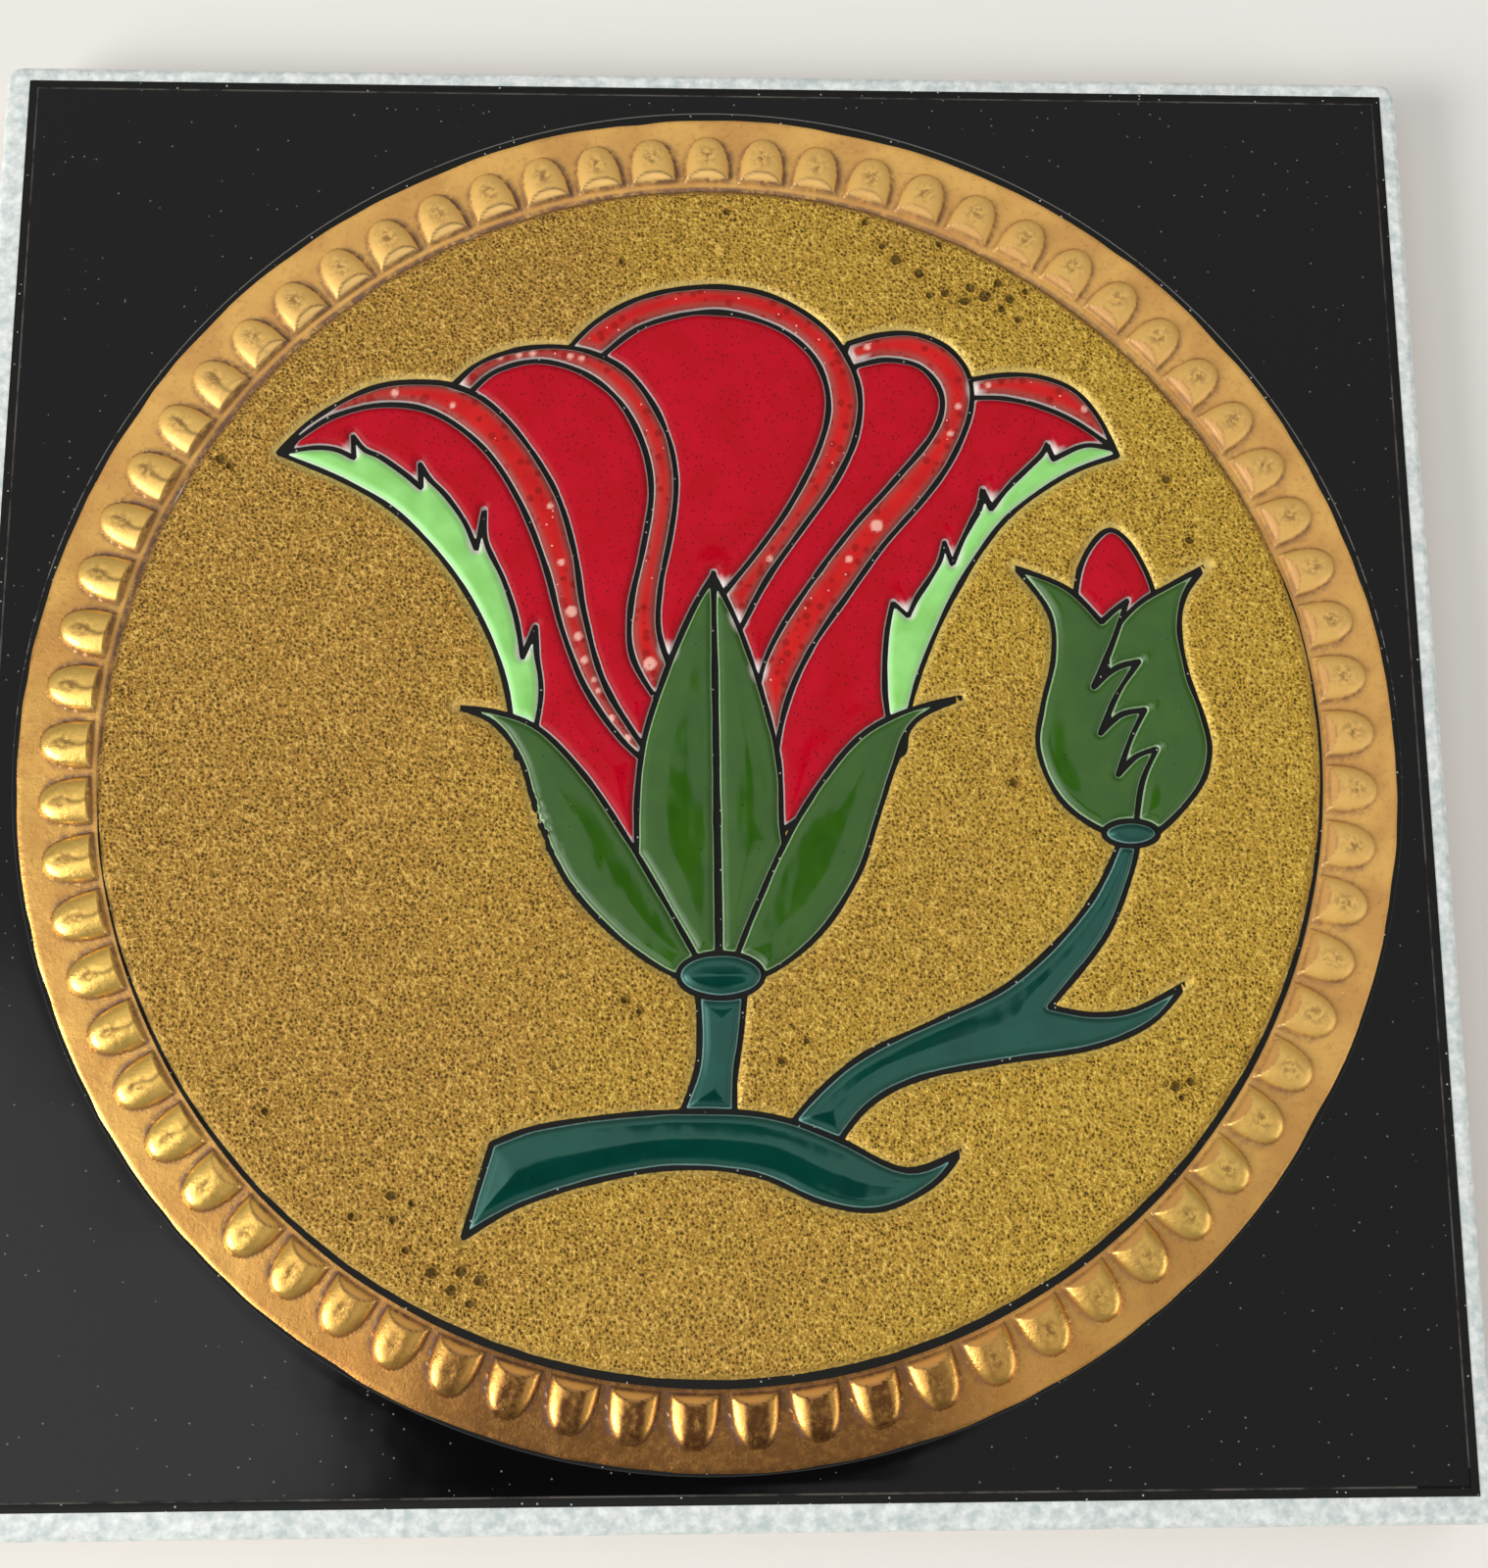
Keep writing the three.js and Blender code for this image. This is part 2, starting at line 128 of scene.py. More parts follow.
# Larger pits in the foam: place and radius
FOAM_PITS = [
    (-67, 40.8, 0.5), (-65.8, 39.9, 0.35), (22, 76.7, 0.35), (24.4, 73.1, 0.35), (26.3, 71.1, 0.55),
    (29.6, 69, 0.5), (30.9, 65.7, 0.35), (33.2, 66.1, 0.45), (35.9, 64.9, 0.5), (32.5, 73.5, 0.35),
    (36.8, 66.9, 0.5), (38.8, 65.7, 0.65), (40.7, 67.7, 0.45), (42.3, 65.3, 0.5), (41.1, 63.8, 0.4),
    (44.6, 66.4, 0.35), (43.4, 62.1, 0.35), (2.3, 78, 0.3), (-32, -67.6, 0.55), (-35.7, -67.7, 0.55),
    (-33.2, -69.9, 0.5), (-29.7, -68.7, 0.5), (-30.8, -71.6, 0.4), (-41.1, -58.1, 0.5), (-46.1, -60.6, 0.35),
    (-40.8, -61.1, 0.35), (-38.5, -59.1, 0.3), (-39.1, -64.9, 0.35), (60.7, -44.7, 0.5), (62.7, -44.1, 0.4),
    (61.4, -46.2, 0.3), (63.3, 38.7, 0.45), (66.1, 29.9, 0.4), (40.7, -4.2, 0.45), (-57.5, -47.3, 0.4),
    (-11.5, -33.2, 0.35), (-9.5, -34.7, 0.3), (9.1, -41.2, 0.35), (12.4, -38.6, 0.3), (-12.4, 70.4, 0.3),
]

# Pale burst bubbles in the rims: place and diameter
BUBBLES = [
    (-43.5, 50.4, 1.0), (-35.5, 48.6, 0.8), (-29.1, 55.8, 0.9), (-26.5, 56.2, 0.8), (-24.6, 56.4, 0.9),
    (-19.4, 56, 0.8), (-17.8, 55.7, 0.8), (-21.9, 34.2, 0.8), (-20.3, 26.2, 0.9), (-18.8, 19.3, 1.5),
    (-17.9, 15.8, 1.1), (-17, 12.5, 1.0), (-15.7, 9.8, 0.8), (-15.1, 8.3, 0.8), (-13.4, 4.5, 0.9),
    (-11.1, 1.9, 0.9), (-8.2, 12, 1.7), (22, 57.7, 0.9), (38.8, 52.2, 0.8), (52.2, 48.8, 1.0),
    (34.5, 49, 0.8), (33.3, 45, 0.8), (22.8, 31.6, 1.7), (18.9, 26.8, 0.9), (8.1, 26.8, 0.9),
]

# The rose's petals, from the one behind all the others to the one before them
PETALS = ("right_outer", "right_inner", "middle", "left_inner", "left_outer")

# Places where a pool runs out in a narrow tip between two lines
THIN_TIPS = [
    (1.8, 23.1), (-5.9, 13.8), (3.6, 18.2), (6.5, 11.1), (-35, 52.3), (20.8, 56.8), (36.9, 51.7), (-32, 28.6),
    (-25.3, 13.7), (-39.7, 37.6), (-49, 42), (27, 19.8), (33.3, 27.2), (38.9, 35.3), (47.8, 42.5),
]

# Outlines of the picture along the middle of its black lines: smooth stretches that meet in
# corners. A back is the rest of an outline that other forms cover, so it is only roughed in.
LEFT_OUTER_EDGE = [
    [-59.3, 41.8], [-55.5, 46], [-50, 49.8], [-45.2, 51.8], [-40.4, 52.3], [-35.6, 51.8], [-30.8, 49.4],
    [-26, 44.3], [-21.2, 36.4], [-18.6, 28], [-17.2, 19.5], [-14.6, 10], [-10.4, 2.6], [-7, -2],
]
LEFT_OUTER_BACK = [[-6, -10], [-10, -15], [-24, 0.5]]
LEFT_OUTER_FOLD = [
    [-56.7, 43.8], [-52, 47.1], [-45.2, 48.9], [-38, 47.8], [-31, 42.5], [-26, 34.7], [-22.4, 25.5],
    [-20.2, 17.2], [-16.9, 8.8], [-12.1, 1.8], [-8, -2],
]
LEFT_MARGIN_TEETH = [
    [[-58, 42], [-54.5, 42.6], [-51.5, 42.4], [-48.9, 41.2]], [[-49.1, 44.3]],
    [[-47.5, 42.4], [-45.2, 41.3], [-42, 39], [-39.6, 36.9]], [[-39.8, 40.3]],
    [[-38.5, 38.2], [-36.1, 35.7], [-33.5, 31.9], [-31.9, 28]], [[-30.9, 33.8]],
    [[-30.6, 29.2], [-28.2, 24], [-26.4, 18.6], [-25.4, 13]], [[-23.7, 17.3]],
    [[-23.5, 13.4], [-22.9, 9.5], [-23, 6.2], [-24, 0.5]],
]
LEFT_MARGIN_EDGE = [
    [-26, -1], [-27.7, 9.5], [-30.8, 17.7], [-35.6, 25.6], [-42.4, 33], [-50, 37.8], [-59.3, 41.8],
]
LEFT_INNER_EDGE = [
    [-35.5, 51.9], [-32.2, 55], [-27.4, 57], [-21.7, 57.7], [-16.4, 56.8], [-11.6, 54.1], [-8, 49.4],
    [-5.6, 43.8], [-4.7, 37.5], [-5.4, 30.6], [-6.8, 23], [-7, 16.5], [-4.8, 10],
]
LEFT_INNER_BACK = [[-6, -4], [-14, 2], [-22, 26], [-33, 46]]
LEFT_INNER_FOLD = [
    [-33, 51], [-29.6, 54], [-23.6, 55.5], [-17.2, 53.6], [-12.2, 49.2], [-9, 42.6], [-8.1, 36],
    [-9.2, 28.5], [-10.8, 20.5], [-10.8, 14], [-8.4, 8.8], [-5.5, 5.5],
]
MIDDLE_EDGE = [
    [-19.5, 57.6], [-15.9, 61.4], [-10.5, 64.7], [-4.5, 66.4], [2, 66.8], [8.1, 65.7], [13.9, 62.6],
    [18.2, 58.2], [20.8, 51.8], [20.3, 45], [17.2, 38], [12.4, 31], [7.6, 23.9], [3, 15],
]
MIDDLE_BACK = [[-4, 8], [-9, 14], [-10, 40], [-15, 50]]
MIDDLE_FOLD = [
    [-14.7, 56.6], [-10.2, 60.3], [-4.9, 62.3], [0.4, 63], [5.7, 62.2], [11, 59.8], [15, 55.6],
    [16.5, 49.8], [15.3, 43.6], [11.4, 35.4], [6.6, 28.2], [0.5, 20.5],
]
RIGHT_INNER_EDGE = [
    [19.4, 58.5], [23.9, 59.8], [28.7, 60], [33.3, 58], [36.2, 53.9], [36.3, 48.4], [33.6, 41.7],
    [29.5, 35.7], [24, 29.3], [18.8, 22], [13.6, 14.3], [10.2, 6.6], [8.4, -2],
]
RIGHT_INNER_BACK = [[3, 4], [2, 18], [16, 50]]
RIGHT_INNER_FOLD = [
    [20.6, 55.2], [24.9, 56.1], [29.7, 54.9], [32.4, 50.6], [31, 45.2], [25.4, 38.2], [19.5, 31.4],
    [14, 24], [9.3, 16.7], [6.8, 10.8], [5.5, 3],
]
RIGHT_OUTER_EDGE = [[36.8, 53.3], [41.2, 54], [46, 53.8], [50.8, 51.9], [54.2, 47.9], [56.7, 42.2]]
RIGHT_OUTER_BACK = [[9, -11], [8, 6], [32, 50]]
RIGHT_OUTER_FOLD = [[36.9, 50.6], [41.2, 50.5], [46, 49.4], [50.8, 47.2], [55.8, 43.6]]
RIGHT_MARGIN_EDGE = [
    [56.7, 42.2], [49.8, 39.5], [42.2, 34.2], [37.4, 28.6], [32.6, 20.6], [29, 12.6], [27, 6.4], [26, 0],
]
RIGHT_MARGIN_TEETH = [
    [[24.9, 0], [23.8, 6], [23.6, 11], [24, 16.5], [24.9, 20.9]], [[27, 18.9]],
    [[28.2, 21.5], [30, 24.2], [31.5, 26.8], [32.2, 29.5]], [[33.2, 26.3]],
    [[34.5, 29.4], [36, 32.3], [37.2, 34.6], [37.7, 37.1]], [[38.8, 34.4]],
    [[41.2, 37.4], [43.6, 39.8], [46, 42.2], [46.9, 43.8]], [[47.7, 41.6]],
    [[49.4, 42.5], [51.3, 43.4], [53.2, 43.7], [56.2, 43.2]],
]
MIDDLE_SEPAL = [
    [[0.4, 24.6], [3.8, 17.4], [6.9, 8.1], [9.1, -1.4], [9.4, -9.8], [10, -18], [6, -30]],
    [[-5, -30], [-9.7, -20], [-9.9, -12.5], [-9.8, -5.1], [-8.7, 2.8], [-5.6, 12.2], [-2.4, 19.8],
        [0.4, 24.6]],
]
SEPAL_RIB = [[[0.4, 25], [0.8, -29]], [[1.2, -29], [0.4, 25]]]
LEFT_SEPAL = [
    [[-34.1, 6.1], [-28.6, 5.4], [-22.9, 3], [-16.7, -3.5], [-11.5, -11.3], [-6.8, -19.1], [-1.2, -29]],
    [[-4.7, -30], [-12.2, -25.1], [-19.1, -17.5], [-23, -8.8], [-25.5, -0.9], [-29.2, 4], [-34.1, 6.1]],
]
RIGHT_SEPAL = [
    [[33.8, 7.5], [26.8, 5.8], [20.2, 2.2], [14.5, -4.6], [9.8, -12.4], [5.6, -21.7], [2.7, -29]],
    [[7.2, -29.8], [14.2, -24.6], [19.5, -16.7], [22.2, -9.1], [24.6, -2], [27.5, 4.2], [33.8, 7.5]],
]
STEM = [
    [[-2, -31], [-1.6, -36.8], [-2, -42.5], [-4.5, -49]], [[3, -50]],
    [[3, -43.6], [3.8, -38], [4.5, -31]],
]
BRANCH = [
    [[8.2, -52], [13.1, -46], [19.8, -40.5], [29.5, -36], [38.8, -31.6], [46.4, -25.1], [51.5, -18.7],
        [55.1, -11.5]],
    [[57.3, -12]],
    [[55.8, -17.4], [52.1, -25.3], [44.5, -34.3]],
    [[50.2, -35.3], [56, -34.6], [62.7, -31.3]],
    [[58, -36.3], [50, -39.6], [37.9, -41.4], [27.1, -43.5], [20.1, -47.2], [15, -53.7]],
]
STALK = [
    [[-28.4, -51.6], [-22.3, -49.5], [-12, -48.1], [-1.6, -47.6], [7.8, -48.3], [16.1, -51.2], [25.2, -55.3],
        [32.4, -52.8]],
    [[28.6, -57.1], [21.8, -60.2], [14.5, -59.4], [5.5, -55.7], [-4.7, -54.8], [-15.1, -56.4], [-25, -59.5],
        [-31.8, -63.4]],
    [[-28.4, -51.6]],
]
BUD_PETAL = [
    [[49.8, 20], [50.7, 25.5], [52.7, 29.4], [55.2, 31.4], [57.7, 29.6], [60, 25.3], [61.5, 20]],
    [[54, 14], [49.8, 20]],
]
BUD_RIGHT_SEPAL = [
    [[68.3, 26.3], [63, 23.4], [58.7, 20.8], [54, 16]],
    [[54, 0], [55.5, -12]],
    [[60.2, -10.7], [65.7, -5], [67.5, 0], [66.8, 5], [65, 11], [64.2, 17.5], [65.3, 22.4], [68.3, 26.3]],
]
BUD_LEFT_SEPAL = [
    [[41.9, 25.9], [48.9, 23], [53.5, 18.2]],
    [[55.2, 19.8], [57.2, 21.3]],
    [[54.8, 15], [52.1, 9.1]],
    [[55.2, 11.7], [58.4, 12.7]],
    [[55.2, 8], [52.7, 2.6]],
    [[55.6, 5.2], [58.9, 5.9]],
    [[56.8, 1.8], [54.9, -3.1]],
    [[57.4, -0.6], [60.3, 0.5]],
    [[58, -4.5], [56.9, -11]],
    [[52.3, -10.6], [46.9, -6.4], [44.2, 0.4], [45, 6.4], [46.7, 13.3], [46.3, 19.6], [41.9, 25.9]],
]

# The knuckles are ellipses: middle and radii
KNUCKLE = ([1.2, -30], [5.6, 2.95])
BUD_KNUCKLE = ([56.3, -11.1], [3.65, 1.7])


def srgb(hex_text):
    """An sRGB hex colour as linear red, green, blue and a full alpha."""
    shares = [int(hex_text[place : place + 2], 16) / 255 for place in (0, 2, 4)]
    linear = [s / 12.92 if s <= 0.04045 else ((s + 0.055) / 1.055) ** 2.4 for s in shares]
    return (*linear, 1.0)


def length(name, description, millimetres):
    return bpy.props.FloatProperty(
        name=name, description=description, default=millimetres * MM, unit="LENGTH", precision=5
    )


def colour(name, description, hex_text):
    return bpy.props.FloatVectorProperty(
        name=name, description=description, default=srgb(hex_text), size=4, subtype="COLOR", min=0, max=1
    )


class TileSizes(bpy.types.PropertyGroup):
    """Sizes of the tile that a user would change."""

    side: length("Side", "Side of the square body", 200)
    thickness: length("Body thickness", "Height of the body's face above its back", 9)
    arris: length("Arris", "Radius of the body's rounded edges", 1.2)
    corner: length("Corner", "Radius of the body's corners in plan", 2.4)
    border_line: length("Border line", "Width of the matt black line round the panel", 1.05)
    bead_rise: length("Bead rise", "Height of the ring's beads over its band", 1.5)
    picture_line: length("Picture line", "Width of the matt black lines of the picture", 0.74)
    pool_rise: length("Pool rise", "Height of the glaze pools over the lines", 0.6)
    foam_rise: length("Foam rise", "Height of the gold foam over the body", 0.9)


class TileColours(bpy.types.PropertyGroup):
    """Colours of the tile's glazes."""

    body: colour("Body", "Pale glaze of the margin", "CACECA")
    black: colour("Black", "Glossy black glaze", "080707")
    line: colour("Line", "Matt black line", "191917")
    ring: colour("Ring", "Gold lustre of the ring", "DAA95A")
    foam: colour("Foam", "Old gold of the foamed glaze", "BE9735")
    crimson: colour("Crimson", "Petals", "B20520")
    orange_red: colour("Orange red", "Rims of the petals", "C41C1A")
    light_green: colour("Light green", "Margins of the petals", "7EC05E")
    leaf_green: colour("Leaf green", "Sepals", "2D560A")
    teal: colour("Teal", "Stalk, branch and knuckles", "02392F")


# Shapes in the plane, in millimetres


def spline(points, steps=6):
    """A smooth curve through points, evenly stepped between each two."""
    points = np.asarray(points, float)
    padded = np.vstack([points[:1], points, points[-1:]])
    share = np.linspace(0, 1, steps, endpoint=False)[:, None]
    parts = []
    for before, start, end, after in zip(padded, padded[1:], padded[2:], padded[3:]):
        lead, tail = (end - before) / 2, (after - start) / 2
        parts.append(
            (2 * start - 2 * end + lead + tail) * share**3
            + (3 * end - 3 * start - 2 * lead - tail) * share**2
            + lead * share
            + start
        )
    return np.vstack([*parts, points[-1:]])


def run(*stretches):
    """The points along smooth stretches that meet in corners."""
    path = np.asarray(stretches[0][:1], float)
    for stretch in stretches:
        through = [p for p in stretch if not np.allclose(p, path[-1])]
        path = np.vstack([path, spline([path[-1], *through])[1:]])
    return path


def outline(*runs):
    """A closed outline made of runs, with no point twice."""
    points = np.vstack(runs)
    return points[np.linalg.norm(points - np.roll(points, 1, 0), axis=1) > 0.02]


def ellipse(centre, radii):
    turn = np.linspace(0, 2 * math.pi, 72, endpoint=False)
    return np.column_stack([centre[0] + radii[0] * np.cos(turn), centre[1] + radii[1] * np.sin(turn)])


def signed_distance(x, y, points):
    """Distance to a closed outline, above 0 inside it."""
    nearest = np.full(x.shape, np.inf)
    inside = np.zeros(x.shape, bool)
    for (ax, ay), (bx, by) in zip(points, np.roll(points, -1, 0)):
        dx, dy = bx - ax, by - ay
        share = np.clip(((x - ax) * dx + (y - ay) * dy) / (dx * dx + dy * dy), 0, 1)
        nearest = np.minimum(nearest, (x - ax - share * dx) ** 2 + (y - ay - share * dy) ** 2)
        if dy:
            inside ^= ((ay <= y) != (by <= y)) & (x < ax + (y - ay) * dx / dy)
    return np.where(inside, 1, -1) * np.sqrt(nearest)


def soft_noise(grain, seed, cells=512):
    """Smooth seeded noise on a square that repeats, with grains of so many cells, spread 1."""
    flat = np.random.default_rng(SEED + seed).standard_normal((cells, cells))
    wave = np.fft.fftfreq(cells)
    band = np.exp(-((wave[:, None] ** 2 + wave[None, :] ** 2) * (grain * 2.2) ** 2))
    noise = np.fft.ifft2(np.fft.fft2(flat) * band).real
    return noise / noise.std()


def noise_at(noise, x, y, cell):
    """The noise at places in the plane, one of its cells being so many millimetres."""
    return sampled(noise, x / cell, y / cell, wrap=True)


def sampled(table, column, row, wrap=False):
    """A table's value between its cells."""
    rows, columns = table.shape
    if wrap:
        column, row = column % columns, row % rows
    else:
        column, row = np.clip(column, 0, columns - 1.001), np.clip(row, 0, rows - 1.001)
    left, low = np.floor(column).astype(int), np.floor(row).astype(int)
    u, v = column - left, row - low
    right, high = (left + 1) % columns, (low + 1) % rows
    return (table[low, left] * (1 - u) + table[low, right] * u) * (1 - v) + (
        table[high, left] * (1 - u) + table[high, right] * u
    ) * v


def ramp(value, start, end):
    """0 up to start, 1 from end on, and smooth between."""
    share = np.clip((value - start) / (end - start), 0, 1)
    return share * share * (3 - 2 * share)


class Picture:
    """The drawing: for each form its distance table, and with these the depth inside each pool."""

    # Cell of the tables, distance at which they stop counting, lower left corner, and cells each way
    step = 0.25
    reach = 4.0
    low = (-68.0, -72.0)
    size = (584, 580)

    def __init__(self):
        left_margin, right_margin = run(*LEFT_MARGIN_TEETH), run(*RIGHT_MARGIN_TEETH)
        # From the form behind all the others to the one before them. The rib only parts its sepal in two
        self.forms = {
            "right_outer_rim": outline(run(RIGHT_OUTER_EDGE), run(RIGHT_MARGIN_EDGE), run(RIGHT_OUTER_BACK)),
            "right_outer_petal": outline(run(RIGHT_OUTER_FOLD), right_margin[::-1], run(RIGHT_OUTER_BACK)),
            "right_margin": outline(run(RIGHT_MARGIN_EDGE), right_margin),
            "right_inner_rim": outline(run(RIGHT_INNER_EDGE), run(RIGHT_INNER_BACK)),
            "right_inner_petal": outline(run(RIGHT_INNER_FOLD), run(RIGHT_INNER_BACK)),
            "middle_rim": outline(run(MIDDLE_EDGE), run(MIDDLE_BACK)),
            "middle_petal": outline(run(MIDDLE_FOLD), run(MIDDLE_BACK)),
            "left_inner_rim": outline(run(LEFT_INNER_EDGE), run(LEFT_INNER_BACK)),
            "left_inner_petal": outline(run(LEFT_INNER_FOLD), run(LEFT_INNER_BACK)),
            "left_outer_rim": outline(run(LEFT_OUTER_EDGE), run(LEFT_OUTER_BACK), run(LEFT_MARGIN_EDGE)),
            "left_outer_petal": outline(run(LEFT_OUTER_FOLD), run(LEFT_OUTER_BACK), left_margin[::-1]),
            "left_margin": outline(left_margin, run(LEFT_MARGIN_EDGE)),
            "middle_sepal": outline(run(*MIDDLE_SEPAL)),
            "sepal_rib": outline(run(*SEPAL_RIB)),
            "left_sepal": outline(run(*LEFT_SEPAL)),
            "right_sepal": outline(run(*RIGHT_SEPAL)),
            "stem": outline(run(*STEM)),
            "branch": outline(run(*BRANCH)),
            "stalk": outline(run(*STALK)),
            "knuckle": ellipse(*KNUCKLE),
            "bud_petal": outline(run(*BUD_PETAL)),
            "bud_right_sepal": outline(run(*BUD_RIGHT_SEPAL)),
            "bud_left_sepal": outline(run(*BUD_LEFT_SEPAL)),
            "bud_knuckle": ellipse(*BUD_KNUCKLE),
        }
        x = self.low[0] + self.step * np.arange(self.size[0])
        y = self.low[1] + self.step * np.arange(self.size[1])
        wobble = WAVER * soft_noise(9, 1, 1024)[: self.size[1], : self.size[0]]
        away = np.hypot(x[None, :] - FRAY_PLACE[0], y[:, None] - FRAY_PLACE[1])
        fray = ramp(-away, -FRAY_RADII[1], -FRAY_RADII[0])
        wobble += FRAY * fray * soft_noise(1.6, 2, 1024)[: self.size[1], : self.size[0]]
        half = bpy.context.scene.tile_sizes.picture_line / MM / 2
        inside = {}
        for name, points in self.forms.items():
            table = np.full((len(y), len(x)), -self.reach)
            across = (x > points[:, 0].min() - self.reach) & (x < points[:, 0].max() + self.reach)
            along = (y > points[:, 1].min() - self.reach) & (y < points[:, 1].max() + self.reach)
            near = np.ix_(along, across)
            table[near] = signed_distance(*np.meshgrid(x[across], y[along]), points)
            inside[name] = table
        self.depths = {}
        before = np.full((len(y), len(x)), self.reach)
        for name in reversed(self.forms):
            if name != "sepal_rib":
                self.depths[name] = np.minimum(inside[name], before) - half + wobble
            before = np.minimum(before, -inside[name])
        self.outside = before - half + wobble

    def table_at(self, table, x, y):
        return sampled(table, (x - self.low[0]) / self.step, (y - self.low[1]) / self.step)

    def pool_depth(self, name):
        """The function that gives a place's depth inside one pool."""
        return lambda x, y: self.table_at(self.depths[name], x, y)

    def field_depth(self, x, y):
        """How far a place is from the picture's outer lines."""
        return self.table_at(self.outside, x, y)

    def box(self, name):
        points = self.forms[name]
        return (*points.min(0), *points.max(0))


def towards_foot(turn):
    """How far an angle round the ring points to the place where the inner black line is widest, -1 to 1."""
    return -np.cos(turn - math.radians(INNER_LINE_LEAN))


def field_edge(turn):
    """The radius of the gold field round the ring's middle."""
    low = towards_foot(turn)
    return FIELD_RADIUS - FIELD_SHIFT * np.clip(low, 0, 1) - UPPER_SHIFT * ramp(-low, 0, 0.5)


# Meshes


def select_only(piece):
    bpy.ops.object.select_all(action="DESELECT")
    piece.select_set(True)
    bpy.context.view_layer.objects.active = piece


def corners(piece):
    """A mesh's vertices, in millimetres."""
    flat = np.empty(len(piece.data.vertices) * 3, np.float32)
    piece.data.vertices.foreach_get("co", flat)
    return flat.reshape(-1, 3).astype(float) / MM


def put_corners(piece, places):
    piece.data.vertices.foreach_set("co", (places * MM).astype(np.float32).ravel())
    piece.data.update()


def mark(piece, name, values):
    """Keeps a number for each vertex, for the material to read."""
    layer = piece.data.attributes.new(name, "FLOAT", "POINT")
    layer.data.foreach_set("value", np.asarray(values, np.float32))


def select_faces(piece, wanted):
    """Selects these faces and nothing else, in edit mode."""
    mesh = piece.data
    mesh.vertices.foreach_set("select", np.zeros(len(mesh.vertices), bool))
    mesh.edges.foreach_set("select", np.zeros(len(mesh.edges), bool))
    mesh.polygons.foreach_set("select", wanted)
    bpy.context.tool_settings.mesh_select_mode = (False, False, True)
    bpy.ops.object.mode_set(mode="EDIT")


def grid(name, box, step):
    """A flat grid over a box of the plane, with cells of about one step."""
    bpy.ops.object.select_all(action="DESELECT")
    x0, y0, x1, y1 = box
    bpy.ops.mesh.primitive_grid_add(
        x_subdivisions=max(2, round((x1 - x0) / step)),
        y_subdivisions=max(2, round((y1 - y0) / step)),
        size=1,
    )
    piece = bpy.context.object
    piece.name = piece.data.name = name
    places = corners(piece) * MM
    places[:, 0] = x0 + (places[:, 0] + 0.5) * (x1 - x0)
    places[:, 1] = y0 + (places[:, 1] + 0.5) * (y1 - y0)
    put_corners(piece, places)
    return piece


def slope(depth, x, y):
    """The direction in which a depth grows fastest, shorter where it hardly grows."""
    reach = 0.06
    dx = (depth(x + reach, y) - depth(x - reach, y)) / (2 * reach)
    dy = (depth(x, y + reach) - depth(x, y - reach)) / (2 * reach)
    size = np.maximum(np.hypot(dx, dy), 0.3)
    return dx / size, dy / size


def pour(name, depth, box, step, height, foot):
    """A pool that fills the places where depth is above 0. Its top is a function of depth and place, and its
    walls go down to a foot."""
    margin = 2 * step
    piece = grid(name, (box[0] - margin, box[1] - margin, box[2] + margin, box[3] + margin), step)
    places = corners(piece)
    wet = depth(places[:, 0], places[:, 1]) > 0
    loops = np.empty(len(piece.data.polygons) * 4, np.int32)
    piece.data.polygons.foreach_get("vertices", loops)
    select_faces(piece, ~wet[loops.reshape(-1, 4)].any(1))
    bpy.ops.mesh.delete(type="FACE")
    bpy.ops.object.mode_set(mode="OBJECT")
    places = corners(piece)
    x, y = places[:, 0], places[:, 1]
    dry = depth(x, y) <= 0
    # Three short steps bring the outermost corners onto the shore
    for _ in range(3):
        short = depth(x[dry], y[dry])
        dx, dy = slope(depth, x[dry], y[dry])
        x[dry] -= short * dx
        y[dry] -= short * dy
    inside = np.maximum(depth(x, y), 0)
    inside[dry] = 0
    places[:, 2] = height(inside, x, y)
    put_corners(piece, places)
    select_faces(piece, np.ones(len(piece.data.polygons), bool))
    bpy.context.tool_settings.mesh_select_mode = (False, True, False)
    bpy.ops.mesh.region_to_loop()
    bpy.ops.mesh.extrude_edges_move(TRANSFORM_OT_translate={"value": (0, 0, -0.1 * MM)})
    bpy.ops.object.mode_set(mode="OBJECT")
    closed = corners(piece)
    closed[len(places) :, 2] = foot
    put_corners(piece, closed)
    mark(piece, "depth", np.concatenate([inside, np.zeros(len(closed) - len(places))]))
    return piece


def close_underside(piece):
    """Closes the open foot of a pool with one face."""
    bpy.ops.object.mode_set(mode="EDIT")
    bpy.ops.mesh.select_mode(type="EDGE")
    bpy.ops.mesh.select_all(action="DESELECT")
    bpy.ops.mesh.select_non_manifold()
    bpy.ops.mesh.fill_holes(sides=0)
    bpy.ops.mesh.select_all(action="SELECT")
    bpy.ops.mesh.normals_make_consistent(inside=False)
    bpy.ops.object.mode_set(mode="OBJECT")


def finish_piece(piece, material, slot, angle=50):
    """Smooths a finished piece, gives it its material, and ties it to the frame."""
    select_only(piece)
    bpy.ops.object.shade_smooth_by_angle(angle=math.radians(angle))
    piece.data.materials.clear()
    piece.data.materials.append(material)
    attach(piece, "root")
    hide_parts("tile")


